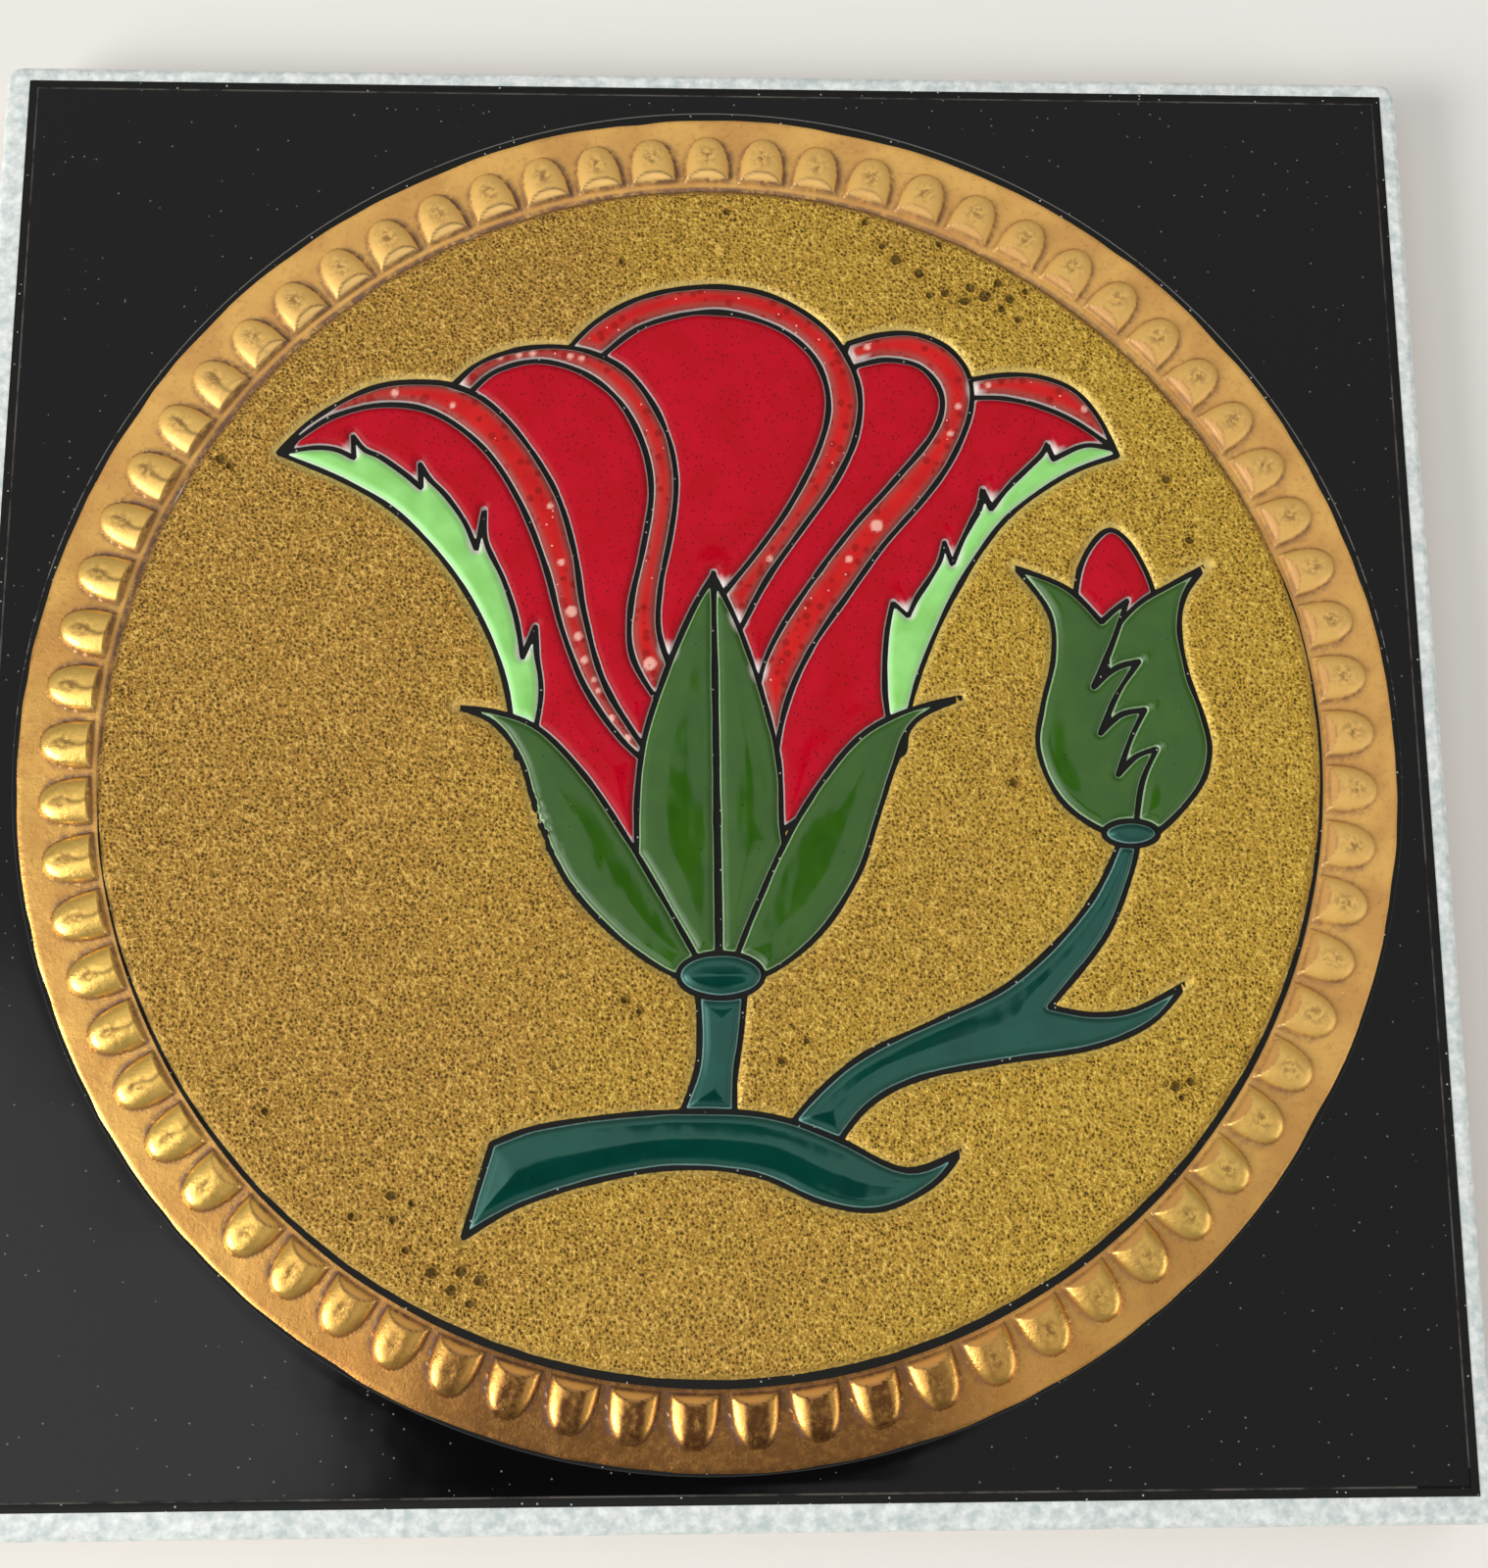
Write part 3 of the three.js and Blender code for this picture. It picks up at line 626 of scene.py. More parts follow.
def ring_plate(name, inner, outer, foot, top, count=360):
    """A flat ring between two radii that change with the angle, with walls down to its foot."""
    bpy.ops.object.select_all(action="DESELECT")
    bpy.ops.mesh.primitive_circle_add(vertices=count, radius=1)
    piece = bpy.context.object
    piece.name = piece.data.name = name
    bpy.ops.object.mode_set(mode="EDIT")
    bpy.ops.mesh.extrude_edges_move(TRANSFORM_OT_translate={"value": (0, 0, 0.01)})
    bpy.ops.object.mode_set(mode="OBJECT")
    places = corners(piece)
    turn = np.arctan2(places[:, 1], places[:, 0])
    radius = np.where(places[:, 2] > 5, inner(turn), outer(turn))
    places[:, 0] = RING_CENTRE[0] + radius * np.cos(turn)
    places[:, 1] = RING_CENTRE[1] + radius * np.sin(turn)
    places[:, 2] = foot
    put_corners(piece, places)
    select_faces(piece, np.ones(len(piece.data.polygons), bool))
    bpy.ops.mesh.extrude_region_move(TRANSFORM_OT_translate={"value": (0, 0, (top - foot) * MM)})
    bpy.ops.mesh.select_all(action="SELECT")
    bpy.ops.mesh.normals_make_consistent(inside=False)
    bpy.ops.object.mode_set(mode="OBJECT")
    return piece


def square_frame(name, half, width, foot, top):
    """A square frame round the panel's middle, with softened edges."""
    bpy.ops.object.select_all(action="DESELECT")
    middle = [PANEL_CENTRE[0] * MM, PANEL_CENTRE[1] * MM, foot * MM]
    bpy.ops.mesh.primitive_plane_add(size=2 * half * MM, location=middle)
    piece = bpy.context.object
    piece.name = piece.data.name = name
    bpy.ops.object.transform_apply(location=True, rotation=True, scale=True)
    bpy.ops.object.mode_set(mode="EDIT")
    bpy.ops.mesh.inset(thickness=width * MM)
    bpy.ops.mesh.delete(type="ONLY_FACE")
    bpy.ops.mesh.select_all(action="SELECT")
    bpy.ops.mesh.extrude_region_move(TRANSFORM_OT_translate={"value": (0, 0, (top - foot) * MM)})
    bpy.ops.mesh.select_all(action="SELECT")
    bpy.ops.mesh.normals_make_consistent(inside=False)
    bpy.ops.object.mode_set(mode="OBJECT")
    bevel = piece.modifiers.new("Soft edge", "BEVEL")
    bevel.width, bevel.segments, bevel.limit_method = 0.06 * MM, 2, "ANGLE"
    bpy.ops.object.modifier_apply(modifier=bevel.name)
    return piece


# Materials

# The settings of the commonest nodes. MIX takes the share as its input 0 and the two colours as 6 and 7
MIX = {"kind": "ShaderNodeMix", "out": 2, "data_type": "RGBA"}
RANGE = {"kind": "ShaderNodeMapRange", "interpolation_type": "SMOOTHSTEP"}
READ = {"kind": "ShaderNodeAttribute", "out": "Fac"}
TIMES = {"kind": "ShaderNodeMath", "operation": "MULTIPLY"}
TIMES_PLUS = {"kind": "ShaderNodeMath", "operation": "MULTIPLY_ADD"}
PLUS = {"kind": "ShaderNodeMath", "operation": "ADD"}
LARGER = {"kind": "ShaderNodeMath", "operation": "MAXIMUM"}
BELOW = {"kind": "ShaderNodeMath", "operation": "LESS_THAN"}
NOISE = {"kind": "ShaderNodeTexNoise"}

# In a pattern's scale, the number before "* MM" is the size of its grain on the tile, in millimetres


def add(tree, kind, inputs=(), out=0, stops=(), **settings):
    """Adds a node with its settings, its inputs as values or links, and a ramp's stops. Gives its output."""
    made = tree.nodes.new(kind)
    for name, value in settings.items():
        setattr(made, name, value)
    for name, value in inputs.items() if isinstance(inputs, dict) else enumerate(inputs):
        if isinstance(value, bpy.types.NodeSocket):
            tree.links.new(value, made.inputs[name])
        else:
            made.inputs[name].default_value = value
    for index, (place, tone) in enumerate(stops):
        elements = made.color_ramp.elements
        stop = elements[index] if index < 2 else elements.new(place)
        stop.position, stop.color = place, tone
    return made.outputs[out] if made.outputs else None


def new_material(name):
    """An empty material, its node tree, and the place on the tile."""
    material = bpy.data.materials.new(name)
    material.use_nodes = True
    material.node_tree.nodes.clear()
    return material, material.node_tree, add(material.node_tree, "ShaderNodeTexCoord", out="Object")


def surface(tree, sockets):
    """Ends a material with its shader and output."""
    shader = add(tree, "ShaderNodeBsdfPrincipled", sockets)
    add(tree, "ShaderNodeOutputMaterial", {"Surface": shader})


def specks(tree, place, spacing, size, share):
    """Round specks of a size, one in some of the cells of a spacing, both in millimetres. 1 in a speck. The
    glazes' dust and pin-holes are drawn with it, a little coarser than the real ones, so that they show."""
    away = add(tree, "ShaderNodeTexVoronoi", {"Vector": place, "Scale": 1 / (spacing * MM)})
    spot = add(tree, **RANGE, inputs=(away, size / spacing / 2, size / spacing / 3))
    chance = add(tree, "ShaderNodeSeparateColor", {"Color": away.node.outputs["Color"]})
    chosen = add(tree, **BELOW, inputs=(chance, share))
    return add(tree, **TIMES, inputs=(spot, chosen))


def pale_body_glaze(colours):
    """White-glazed pressed clay: glossy, faintly mottled grey where the glaze crawled in the fire, and bare
    matt cream clay on the back and the lower sides, so the margin reads cool and cloudy."""
    material, tree, place = new_material("glazed_pressed_clay")
    grain = {"Vector": place, "Detail": 3, "Roughness": 0.6}
    clouds = add(tree, **NOISE, inputs={**grain, "Scale": 1 / (1.4 * MM)})
    stops = [(0.34, srgb("B2BDBB")), (0.5, tuple(colours.body)), (0.68, srgb("DDE2DF"))]
    mottled = add(tree, "ShaderNodeValToRGB", (clouds,), stops=stops)
    chips = add(tree, **TIMES, inputs=(specks(tree, place, 2.6, 0.35, 0.22), 0.7))
    mottled = add(tree, **MIX, inputs={0: chips, 6: mottled, 7: srgb("6F6A64")})
    height = add(tree, "ShaderNodeSeparateXYZ", (place,), out="Z")
    glazed = add(tree, **RANGE, inputs=(height, 6.4 * MM, 6.9 * MM))
    crumbs = add(tree, **NOISE, inputs={"Vector": place, "Scale": 1 / (0.7 * MM), "Detail": 3})
    clay = add(tree, **MIX, inputs={0: crumbs, 6: srgb("C9BBA2"), 7: srgb("DDD2BE")})
    tone = add(tree, **MIX, inputs={0: glazed, 6: clay, 7: mottled})
    rough = add(tree, **RANGE, inputs=(glazed, 0, 1, 0.85, 0.3))
    relief = add(tree, **NOISE, inputs={**grain, "Scale": 1 / (0.9 * MM)})
    normal = add(tree, "ShaderNodeBump", {"Height": relief, "Distance": 0.05 * MM})
    surface(tree, {"Base Color": tone, "Roughness": rough, "IOR": 1.5, "Normal": normal})
    return material


def matt_line(colours, name="dry_black_line"):
    """Manganese and grease line fired dry: matt, almost black, with pale dust caught along it."""
    material, tree, place = new_material(name)
    dust = specks(tree, place, 1.0, 0.3, 0.35)
    uneven = add(tree, **NOISE, inputs={"Vector": place, "Scale": 1 / (0.6 * MM)})
    tone = add(tree, **MIX, inputs={0: uneven, 6: srgb("121211"), 7: tuple(colours.line)})
    tone = add(tree, **MIX, inputs={0: dust, 6: tone, 7: srgb("A3A198")})
    relief = add(tree, **NOISE, inputs={"Vector": place, "Scale": 1 / (0.25 * MM)})
    normal = add(tree, "ShaderNodeBump", {"Height": relief, "Distance": 0.03 * MM})
    surface(tree, {"Base Color": tone, "Roughness": 0.7, "Specular IOR Level": 0.15, "Normal": normal})
    return material


def bare_line_finish():
    """Bare strip between the black glaze and its border: unglazed clay stained grey by wear, so it reads as a
    thin broken line. The black glaze ran over it in the corner at the bottom right."""
    material, tree, place = new_material("stained_bare_clay")
    grain = {"Vector": place, "Scale": 1 / (6 * MM), "Detail": 4, "Roughness": 0.7}
    worn = add(tree, **RANGE, inputs=(add(tree, **NOISE, inputs=grain), 0.35, 0.6))
    tone = add(tree, **MIX, inputs={0: worn, 6: srgb("22201F"), 7: srgb("4E4A45")})
    east = add(tree, "ShaderNodeSeparateXYZ", (place,))
    left_end, top_end = 89.4, -92.9
    right = add(tree, "ShaderNodeMath", (east, left_end * MM), operation="GREATER_THAN")
    low = add(tree, **BELOW, inputs=(east.node.outputs["Y"], top_end * MM))
    run_over = add(tree, **TIMES, inputs=(right, low))
    tone = add(tree, **MIX, inputs={0: run_over, 6: tone, 7: srgb("0E0D0D")})
    surface(tree, {"Base Color": tone, "Roughness": 0.7, "Specular IOR Level": 0.1})
    return material


def black_glaze(colours):
    """Thick lead-bright black glaze: mirror-like, with the slight roll of a poured surface and a few specks
    of dust and lint on it."""
    material, tree, place = new_material("black_pooled_glaze")
    turned = {"Vector": place, "Rotation": (0, 0, 0.5), "Scale": (1, 0.25, 1)}
    threads = specks(tree, add(tree, "ShaderNodeMapping", turned), 3.6, 0.2, 0.06)
    dusty = add(tree, **LARGER, inputs=(specks(tree, place, 1.5, 0.3, 0.6), threads))
    shown = add(tree, **TIMES, inputs=(dusty, 0.5))
    tone = add(tree, **MIX, inputs={0: shown, 6: tuple(colours.black), 7: srgb("8C8A86")})
    rough = add(tree, **RANGE, inputs=(dusty, 0, 1, 0.07, 0.6))
    roll = add(tree, **NOISE, inputs={"Vector": place, "Scale": 1 / (7 * MM), "Detail": 1})
    normal = add(tree, "ShaderNodeBump", {"Height": roll, "Distance": 0.03 * MM})
    gloss = {"Roughness": rough, "IOR": 1.5, "Specular IOR Level": 0.25}
    surface(tree, {"Base Color": tone, **gloss, "Normal": normal})
    return material


def glaze_edge_and_highlight(colours):
    """Edge of the black glaze where it thinned over the clay against the ring's line: a fine grey line,
    partly this thinning and partly a painted highlight on the glaze's rolled edge, unbroken at the top of the
    ring and only in dashes lower down."""
    material, tree, place = new_material("thinned_black_glaze_edge_and_highlight")
    grain = {"Vector": place, "Scale": 1 / (1.6 * MM), "Detail": 3, "Roughness": 0.7}
    north = add(tree, "ShaderNodeSeparateXYZ", (place,), out="Y")
    north = add(tree, **RANGE, inputs=(north, -30 * MM, 70 * MM, -0.24, 0.1))
    broken = add(tree, **PLUS, inputs=(add(tree, **NOISE, inputs=grain), north))
    shown = add(tree, **RANGE, inputs=(broken, 0.4, 0.5))
    tone = add(tree, **MIX, inputs={0: shown, 6: tuple(colours.black), 7: srgb("605E58")})
    surface(tree, {"Base Color": tone, "Roughness": 0.5})
    return material


def gold_lustre(colours):
    """Gold lustre burnished over pressed relief: satin metal, duller and redder on the bands, with brown
    grime and painted shade in the channels between the beads, painted shade in the creases round the facets
    and along the beads' dents, painted light on the facets, a painted dark reflection on the beads' middles
    near the worn place, and rubbed smudges on their crowns."""
    material, tree, place = new_material("gold_lustre_on_relief")
    names = ("grime_and_shade", "crown", "facet", "dark_reflection_core", "crease_shade", "dent_shade", "rubbed", "wall")
    grime_and_shade, crown, facet, dark_reflection_core, crease_shade, dent_shade, rubbed, wall = (
        add(tree, **READ, attribute_name=name) for name in names
    )
    wide = add(tree, **NOISE, inputs={"Vector": place, "Scale": 1 / (9 * MM), "Detail": 3})
    grain = {"Vector": place, "Detail": 4}
    small = add(tree, **NOISE, inputs={**grain, "Scale": 1 / (2.2 * MM), "Roughness": 0.65})
    fine = add(tree, **NOISE, inputs={**grain, "Scale": 1 / (0.8 * MM), "Roughness": 0.7})
    # How far a place is to the lower left, to the right, and in the ring's left end
    south = add(tree, "ShaderNodeVectorMath", (place, (-0.45, -0.9, 0)), out=1, operation="DOT_PRODUCT")
    south = add(tree, **RANGE, inputs=(south, -40 * MM, 55 * MM))
    east = add(tree, "ShaderNodeSeparateXYZ", (place,))
    west = add(tree, **RANGE, inputs=(east, -56 * MM, -72 * MM))
    east = add(tree, **RANGE, inputs=(east, -20 * MM, 60 * MM))
    kept = add(tree, **TIMES_PLUS, inputs=(west, -1.0, 1.0))
    # The bands, mottled and speckled
    mottled = add(tree, **RANGE, inputs=(wide, 0.35, 0.65))
    band = add(tree, **MIX, inputs={0: mottled, 6: srgb("C8944E"), 7: tuple(colours.ring)})
    speckle = add(tree, **TIMES, inputs=(add(tree, **RANGE, inputs=(fine, 0.5, 0.75)), 0.4))
    band = add(tree, **MIX, inputs={0: speckle, 6: band, 7: srgb("8A6030")})
    # The beads with their cut facets, whose lighter tone is painted light, darker towards the right
    bead = add(tree, **MIX, inputs={0: south, 6: srgb("DFB160"), 7: srgb("EABF62")})
    cut = add(tree, **MIX, inputs={0: south, 6: srgb("EEC272"), 7: srgb("E2AE54")})
    cut = add(tree, **MIX, inputs={0: east, 6: cut, 7: srgb("BC8A46")})
    facet = add(tree, **TIMES, inputs=(facet, kept))
    bead = add(tree, **MIX, inputs={0: facet, 6: bead, 7: cut})
    raised = add(tree, **RANGE, inputs=(crown, 0.05, 0.5))
    tone = add(tree, **MIX, inputs={0: raised, 6: band, 7: bead})
    # Redder gold round the worn place, and in it bare clay on the bands and a painted dark reflection on the
    # middles of the beads
    worn_place = tuple(v * MM for v in WORN_FOOT)
    foot = add(tree, "ShaderNodeVectorMath", (place, worn_place), out=1, operation="DISTANCE")
    reddened = add(tree, **RANGE, inputs=(foot, 80 * MM, 20 * MM, 0, 0.6))
    worn = add(tree, **RANGE, inputs=(foot, 48 * MM, 24 * MM))
    shown = add(tree, **RANGE, inputs=(add(tree, **PLUS, inputs=(fine, small)), 0.75, 1.15, 0.6, 1))
    worn = add(tree, **TIMES, inputs=(worn, shown))
    bared = add(tree, **TIMES_PLUS, inputs=(raised, -1.0, 1.0))
    worn = add(tree, **TIMES, inputs=(worn, add(tree, **LARGER, inputs=(dark_reflection_core, bared))))
    bare = add(tree, **MIX, inputs={0: raised, 6: srgb("7A5228"), 7: srgb("5C3618")})
    # Painted shade in the creases round the facets and along the dents at the left end, grime with painted
    # shade in the channels, and smudges on the crowns
    crease_shade = add(tree, **TIMES, inputs=(crease_shade, add(tree, **RANGE, inputs=(east, 0, 1, 0.85, 0.25))))
    crease_shade = add(tree, **TIMES, inputs=(crease_shade, kept))
    dent_shade = add(tree, **TIMES, inputs=(add(tree, **TIMES, inputs=(dent_shade, west)), 0.8))
    patches = add(tree, **RANGE, inputs=(small, 0.36, 0.6))
    broken = add(tree, **RANGE, inputs=(fine, 0.35, 0.6))
    dark_fringe = add(tree, **TIMES, inputs=(add(tree, **LARGER, inputs=(patches, broken)), grime_and_shade))
    dark_fringe = add(tree, **TIMES, inputs=(dark_fringe, add(tree, **RANGE, inputs=(east, 0, 1, 1, 0.6))))
    smudge = add(tree, **TIMES, inputs=(rubbed, add(tree, **RANGE, inputs=(fine, 0.42, 0.58, 0, 0.75))))
    flecks = specks(tree, place, 2.2, 0.2, 0.2)
    for share, over in (
        (reddened, srgb("C8843F")), (worn, bare), (crease_shade, srgb("5A3A1E")), (dent_shade, srgb("6A5526")),
        (dark_fringe, srgb("6A4A3A")), (smudge, srgb("704A26")), (flecks, srgb("E6CFA0")),
    ):
        tone = add(tree, **MIX, inputs={0: share, 6: tone, 7: over})
    # More of a metal, and smoother, towards the lower left. Grime with its painted shade, facets and walls
    # are dull
    cast = add(tree, **LARGER, inputs=(add(tree, **LARGER, inputs=(dark_fringe, facet)), wall))
    polish = add(tree, **RANGE, inputs=(south, 0, 1, 0.35, 0.8))
    metal = add(tree, **RANGE, inputs=(cast, 0, 1, polish, 0.15))
    dull = add(tree, **RANGE, inputs=(south, 0, 1, 0.2, 0))
    rough = add(tree, **PLUS, inputs=(add(tree, **RANGE, inputs=(small, 0.3, 0.7, 0.22, 0.34)), dull))
    normal = add(tree, "ShaderNodeBump", {"Height": fine, "Distance": 0.07 * MM})
    surface(tree, {"Base Color": tone, "Metallic": metal, "Roughness": rough, "Normal": normal})
    return material


def foamed_gold(colours):
    """Old-gold glaze foamed in the fire: fine ridges round open pores, with painted highlight on the ridges
    and painted shade in the hollows, the pores and the pits' bowls, rough and low in shine, drawn smooth and
    pale where it thins against the lines, and darker along its upper edge against the ring."""
    material, tree, place = new_material("foamed_old_gold_glaze")
    # The ridges and pores are drawn a little coarser than the real ones, so that they show from the camera
    grain = {"Vector": place, "Scale": 1 / (0.36 * MM), "Detail": 2, "Roughness": 0.6}
    cells = add(tree, "ShaderNodeTexVoronoi", {"Vector": place, "Scale": 1 / (0.5 * MM)})
    relief = add(tree, **TIMES_PLUS, inputs=(cells, 0.5, add(tree, **NOISE, inputs=grain)))
    swell = add(tree, **NOISE, inputs={"Vector": place, "Scale": 1 / (3.5 * MM), "Detail": 2})
    open_share = add(tree, **RANGE, inputs=(swell, 0.35, 0.65, 0.25, 0.7))
    chance = add(tree, "ShaderNodeSeparateColor", {"Color": cells.node.outputs["Color"]})
    opened = add(tree, **BELOW, inputs=(chance, open_share))
    pores = add(tree, **TIMES, inputs=(add(tree, **RANGE, inputs=(cells, 0.36, 0.16, 0, 0.9)), opened))
    # Redder gold on the left and yellower on the right, with a drifting border. The tones follow the relief's
    # height: painted shade in the hollows, painted highlight on the ridges
    east = add(tree, "ShaderNodeSeparateXYZ", (place,))
    north = add(tree, **RANGE, inputs=(east.node.outputs["Y"], -20 * MM, 60 * MM))
    drift = add(tree, **NOISE, inputs={"Vector": place, "Scale": 1 / (24 * MM), "Detail": 3})
    aged = add(tree, **RANGE, inputs=(add(tree, **TIMES_PLUS, inputs=(drift, -0.12, east)), -0.12, 0))
    low = add(tree, **MIX, inputs={0: aged, 6: srgb("664A1C"), 7: srgb("70561A")})
    middle = add(tree, **MIX, inputs={0: aged, 6: srgb("AE8336"), 7: tuple(colours.foam)})
    high = add(tree, **MIX, inputs={0: aged, 6: srgb("DDB35C"), 7: srgb("E2BE58")})
    tone = add(tree, **MIX, inputs={0: add(tree, **RANGE, inputs=(relief, 0.5, 0.68)), 6: low, 7: middle})
    tone = add(tree, **MIX, inputs={0: add(tree, **RANGE, inputs=(relief, 0.78, 0.96)), 6: tone, 7: high})
    # Painted shade in the open pores and the pits' bowls, pale against the lines, more so at the top, and
    # darker along the field's upper edge against the ring
    pit, line, upper_edge_darkening = (add(tree, **READ, attribute_name=name) for name in ("pit", "from_line", "dark_fringe"))
    paler = add(tree, **RANGE, inputs=(north, 0, 1, 0.25, 0.65))
    pale = add(tree, **TIMES, inputs=(add(tree, **RANGE, inputs=(line, 1.2, 0.1)), paler))
    upper_edge_darkening = add(tree, **TIMES, inputs=(upper_edge_darkening, 0.8))
    for share, over in ((pores, "58431A"), (pit, "544018"), (pale, "CDB870"), (upper_edge_darkening, "7A5A36")):
        tone = add(tree, **MIX, inputs={0: share, 6: tone, 7: srgb(over)})
    dented = add(tree, **TIMES_PLUS, inputs=(pores, -0.4, relief))
    dented = add(tree, **TIMES, inputs=(dented, add(tree, **RANGE, inputs=(line, 0.1, 1.3, 0.1, 1))))
    normal = add(tree, "ShaderNodeBump", {"Height": dented, "Distance": 0.6 * MM})
    shine = {"Metallic": 0.35, "Roughness": 0.42, "Specular IOR Level": 0.25}
    surface(tree, {"Base Color": tone, **shine, "Normal": normal})
    return material


def pool_glaze(
    name, tones, edge_tone, pins, band=None, spots=None, dust=0, mirror=0.5, roll=0.04, tint="FFFFFF"
):
    """The material that the coloured pools share: two tones in clouds, thinning to another at the line and to
    the pale body in thin tips, and the slight roll of a poured surface. Pins and dust are the shares of the
    places that have a pin-hole or a speck. A band along the line has a reach, a share and a tone. Spots are
    the tones of healed and of burst bubbles."""
    material, tree, place = new_material(name)
    depth, narrow = (add(tree, **READ, attribute_name=mark_name) for mark_name in ("depth", "tip"))
    wide = add(tree, **NOISE, inputs={"Vector": place, "Scale": 1 / (5 * MM), "Detail": 3})
    tone = add(tree, **MIX, inputs={0: add(tree, **RANGE, inputs=(wide, 0.3, 0.7)), 6: tones[0], 7: tones[1]})
    layers = []
    if band:
        reach, share, band_tone = band
        layers.append((add(tree, **RANGE, inputs=(depth, reach, 0.2, 0, share)), band_tone))
    if spots:
        healed, burst = spots
        layers.append((add(tree, **TIMES, inputs=(specks(tree, place, 1.6, 1.3, 0.75), 0.75)), healed))
        bubble = add(tree, **READ, attribute_name="bubble")
        bubble = add(tree, **LARGER, inputs=(bubble, specks(tree, place, 0.8, 0.34, 0.1)))
        layers.append((add(tree, **TIMES, inputs=(bubble, 0.75)), burst))
    if dust:
        dusty = add(tree, **TIMES, inputs=(specks(tree, place, 1.7, 0.24, dust), 0.55))
        layers.append((dusty, srgb("B4C2BE")))
    if pins:
        hole_tone = tuple(c * 0.25 for c in tones[0][:3]) + (1.0,)
        layers.append((add(tree, **TIMES, inputs=(specks(tree, place, 0.7, 0.32, pins), 0.85)), hole_tone))
    ragged = add(tree, **NOISE, inputs={"Vector": place, "Scale": 1 / (0.5 * MM)})
    ragged = add(tree, **TIMES_PLUS, inputs=(ragged, -0.12, depth))
    layers.append((add(tree, **RANGE, inputs=(ragged, 0.18, 0.04)), edge_tone))
    shoal = add(tree, **RANGE, inputs=(depth, 0.3, 0.9, 1, 0))
    layers.append((add(tree, **TIMES, inputs=(narrow, shoal)), srgb("DCD2CE")))
    for share, over in layers:
        tone = add(tree, **MIX, inputs={0: share, 6: tone, 7: over})
    rough = add(tree, **RANGE, inputs=(depth, 0.3, 1.2, 0.55, 0.09))
    long = add(tree, "ShaderNodeMapping", {"Vector": place, "Scale": (1, 0.4, 1)})
    wave = add(tree, **NOISE, inputs={"Vector": long, "Scale": 1 / (3.5 * MM), "Detail": 1})
    normal = add(tree, "ShaderNodeBump", {"Height": wave, "Distance": roll * MM})
    gloss = {"Roughness": rough, "IOR": 1.5, "Specular IOR Level": mirror, "Specular Tint": srgb(tint)}
    surface(tree, {"Base Color": tone, **gloss, "Normal": normal})
    return material


def crimson_glaze(colours):
    """Selenium crimson glaze, poured: deep, even and glossy, with dark micro pin-holes and a darker band of
    painted shade over its rounded shore, thinning to the pale body in a fine line along the drawing."""
    tones = tuple(colours.crimson), srgb("A80416")
    # A darker band along the lines: painted shade of the pool's rounded shore
    band = 1.4, 0.6, srgb("930618")
    return pool_glaze("crimson_pooled_glaze", tones, srgb("A99A98"), 0.95, band, mirror=0.14)


def orange_red_glaze(colours):
    """Orange-red glaze laid thin over white: translucent, greyish pink where it thins towards the lines, with
    pale burst bubbles and darker rings round healed ones."""
    tones = tuple(colours.orange_red), srgb("B21416")
    band = 1.5, 0.85, srgb("87423B")
    spots = srgb("8C100E"), srgb("EBB5A5")
    return pool_glaze("orange_red_pooled_glaze", tones, srgb("B0A6A0"), 0.2, band, spots, mirror=0.15)


def light_green_glaze(colours):
    """Opaque light green glaze: smooth, even and glossy, whitish where it thins in the tips of the teeth."""
    tones = tuple(colours.light_green), srgb("8ED274")
    return pool_glaze("light_green_pooled_glaze", tones, srgb("C8DCC0"), 0, (0.8, 0.6, srgb("A9E09C")))


def leaf_green_glaze(colours):
    """Chrome green glaze, poured thick: clear and dark, so that it mirrors the room, with a pale green line
    where it thins."""
    tones = tuple(colours.leaf_green), srgb("264F08")
    return pool_glaze("leaf_green_pooled_glaze", tones, srgb("8CA87E"), 0.04, dust=0.05, mirror=0.6, roll=0.1)


def teal_glaze(colours):
    """Copper and cobalt teal glaze, poured thick: nearly black in depth, mirror-like, pale teal at its
    edges."""
    tones = tuple(colours.teal), srgb("023029")
    mirroring = {"mirror": 1.0, "roll": 0.05, "tint": "BCFFF0"}
    return pool_glaze("teal_pooled_glaze", tones, srgb("6A8C88"), 0.04, dust=0.15, **mirroring)


def floor_finish():
    """Plain pale table covering, matt."""
    material, tree, _ = new_material("pale_matt_floor")
    surface(tree, {"Base Color": srgb("DCD9D4"), "Roughness": 0.9})
    return material


# Pieces


class TileOperator(bpy.types.Operator):
    """What all the builders share: the sizes and the colours of the scene."""

    bl_options = {"REGISTER", "UNDO"}

    @property
    def sizes(self):
        return bpy.context.scene.tile_sizes

    @property
    def colours(self):
        return bpy.context.scene.tile_colours


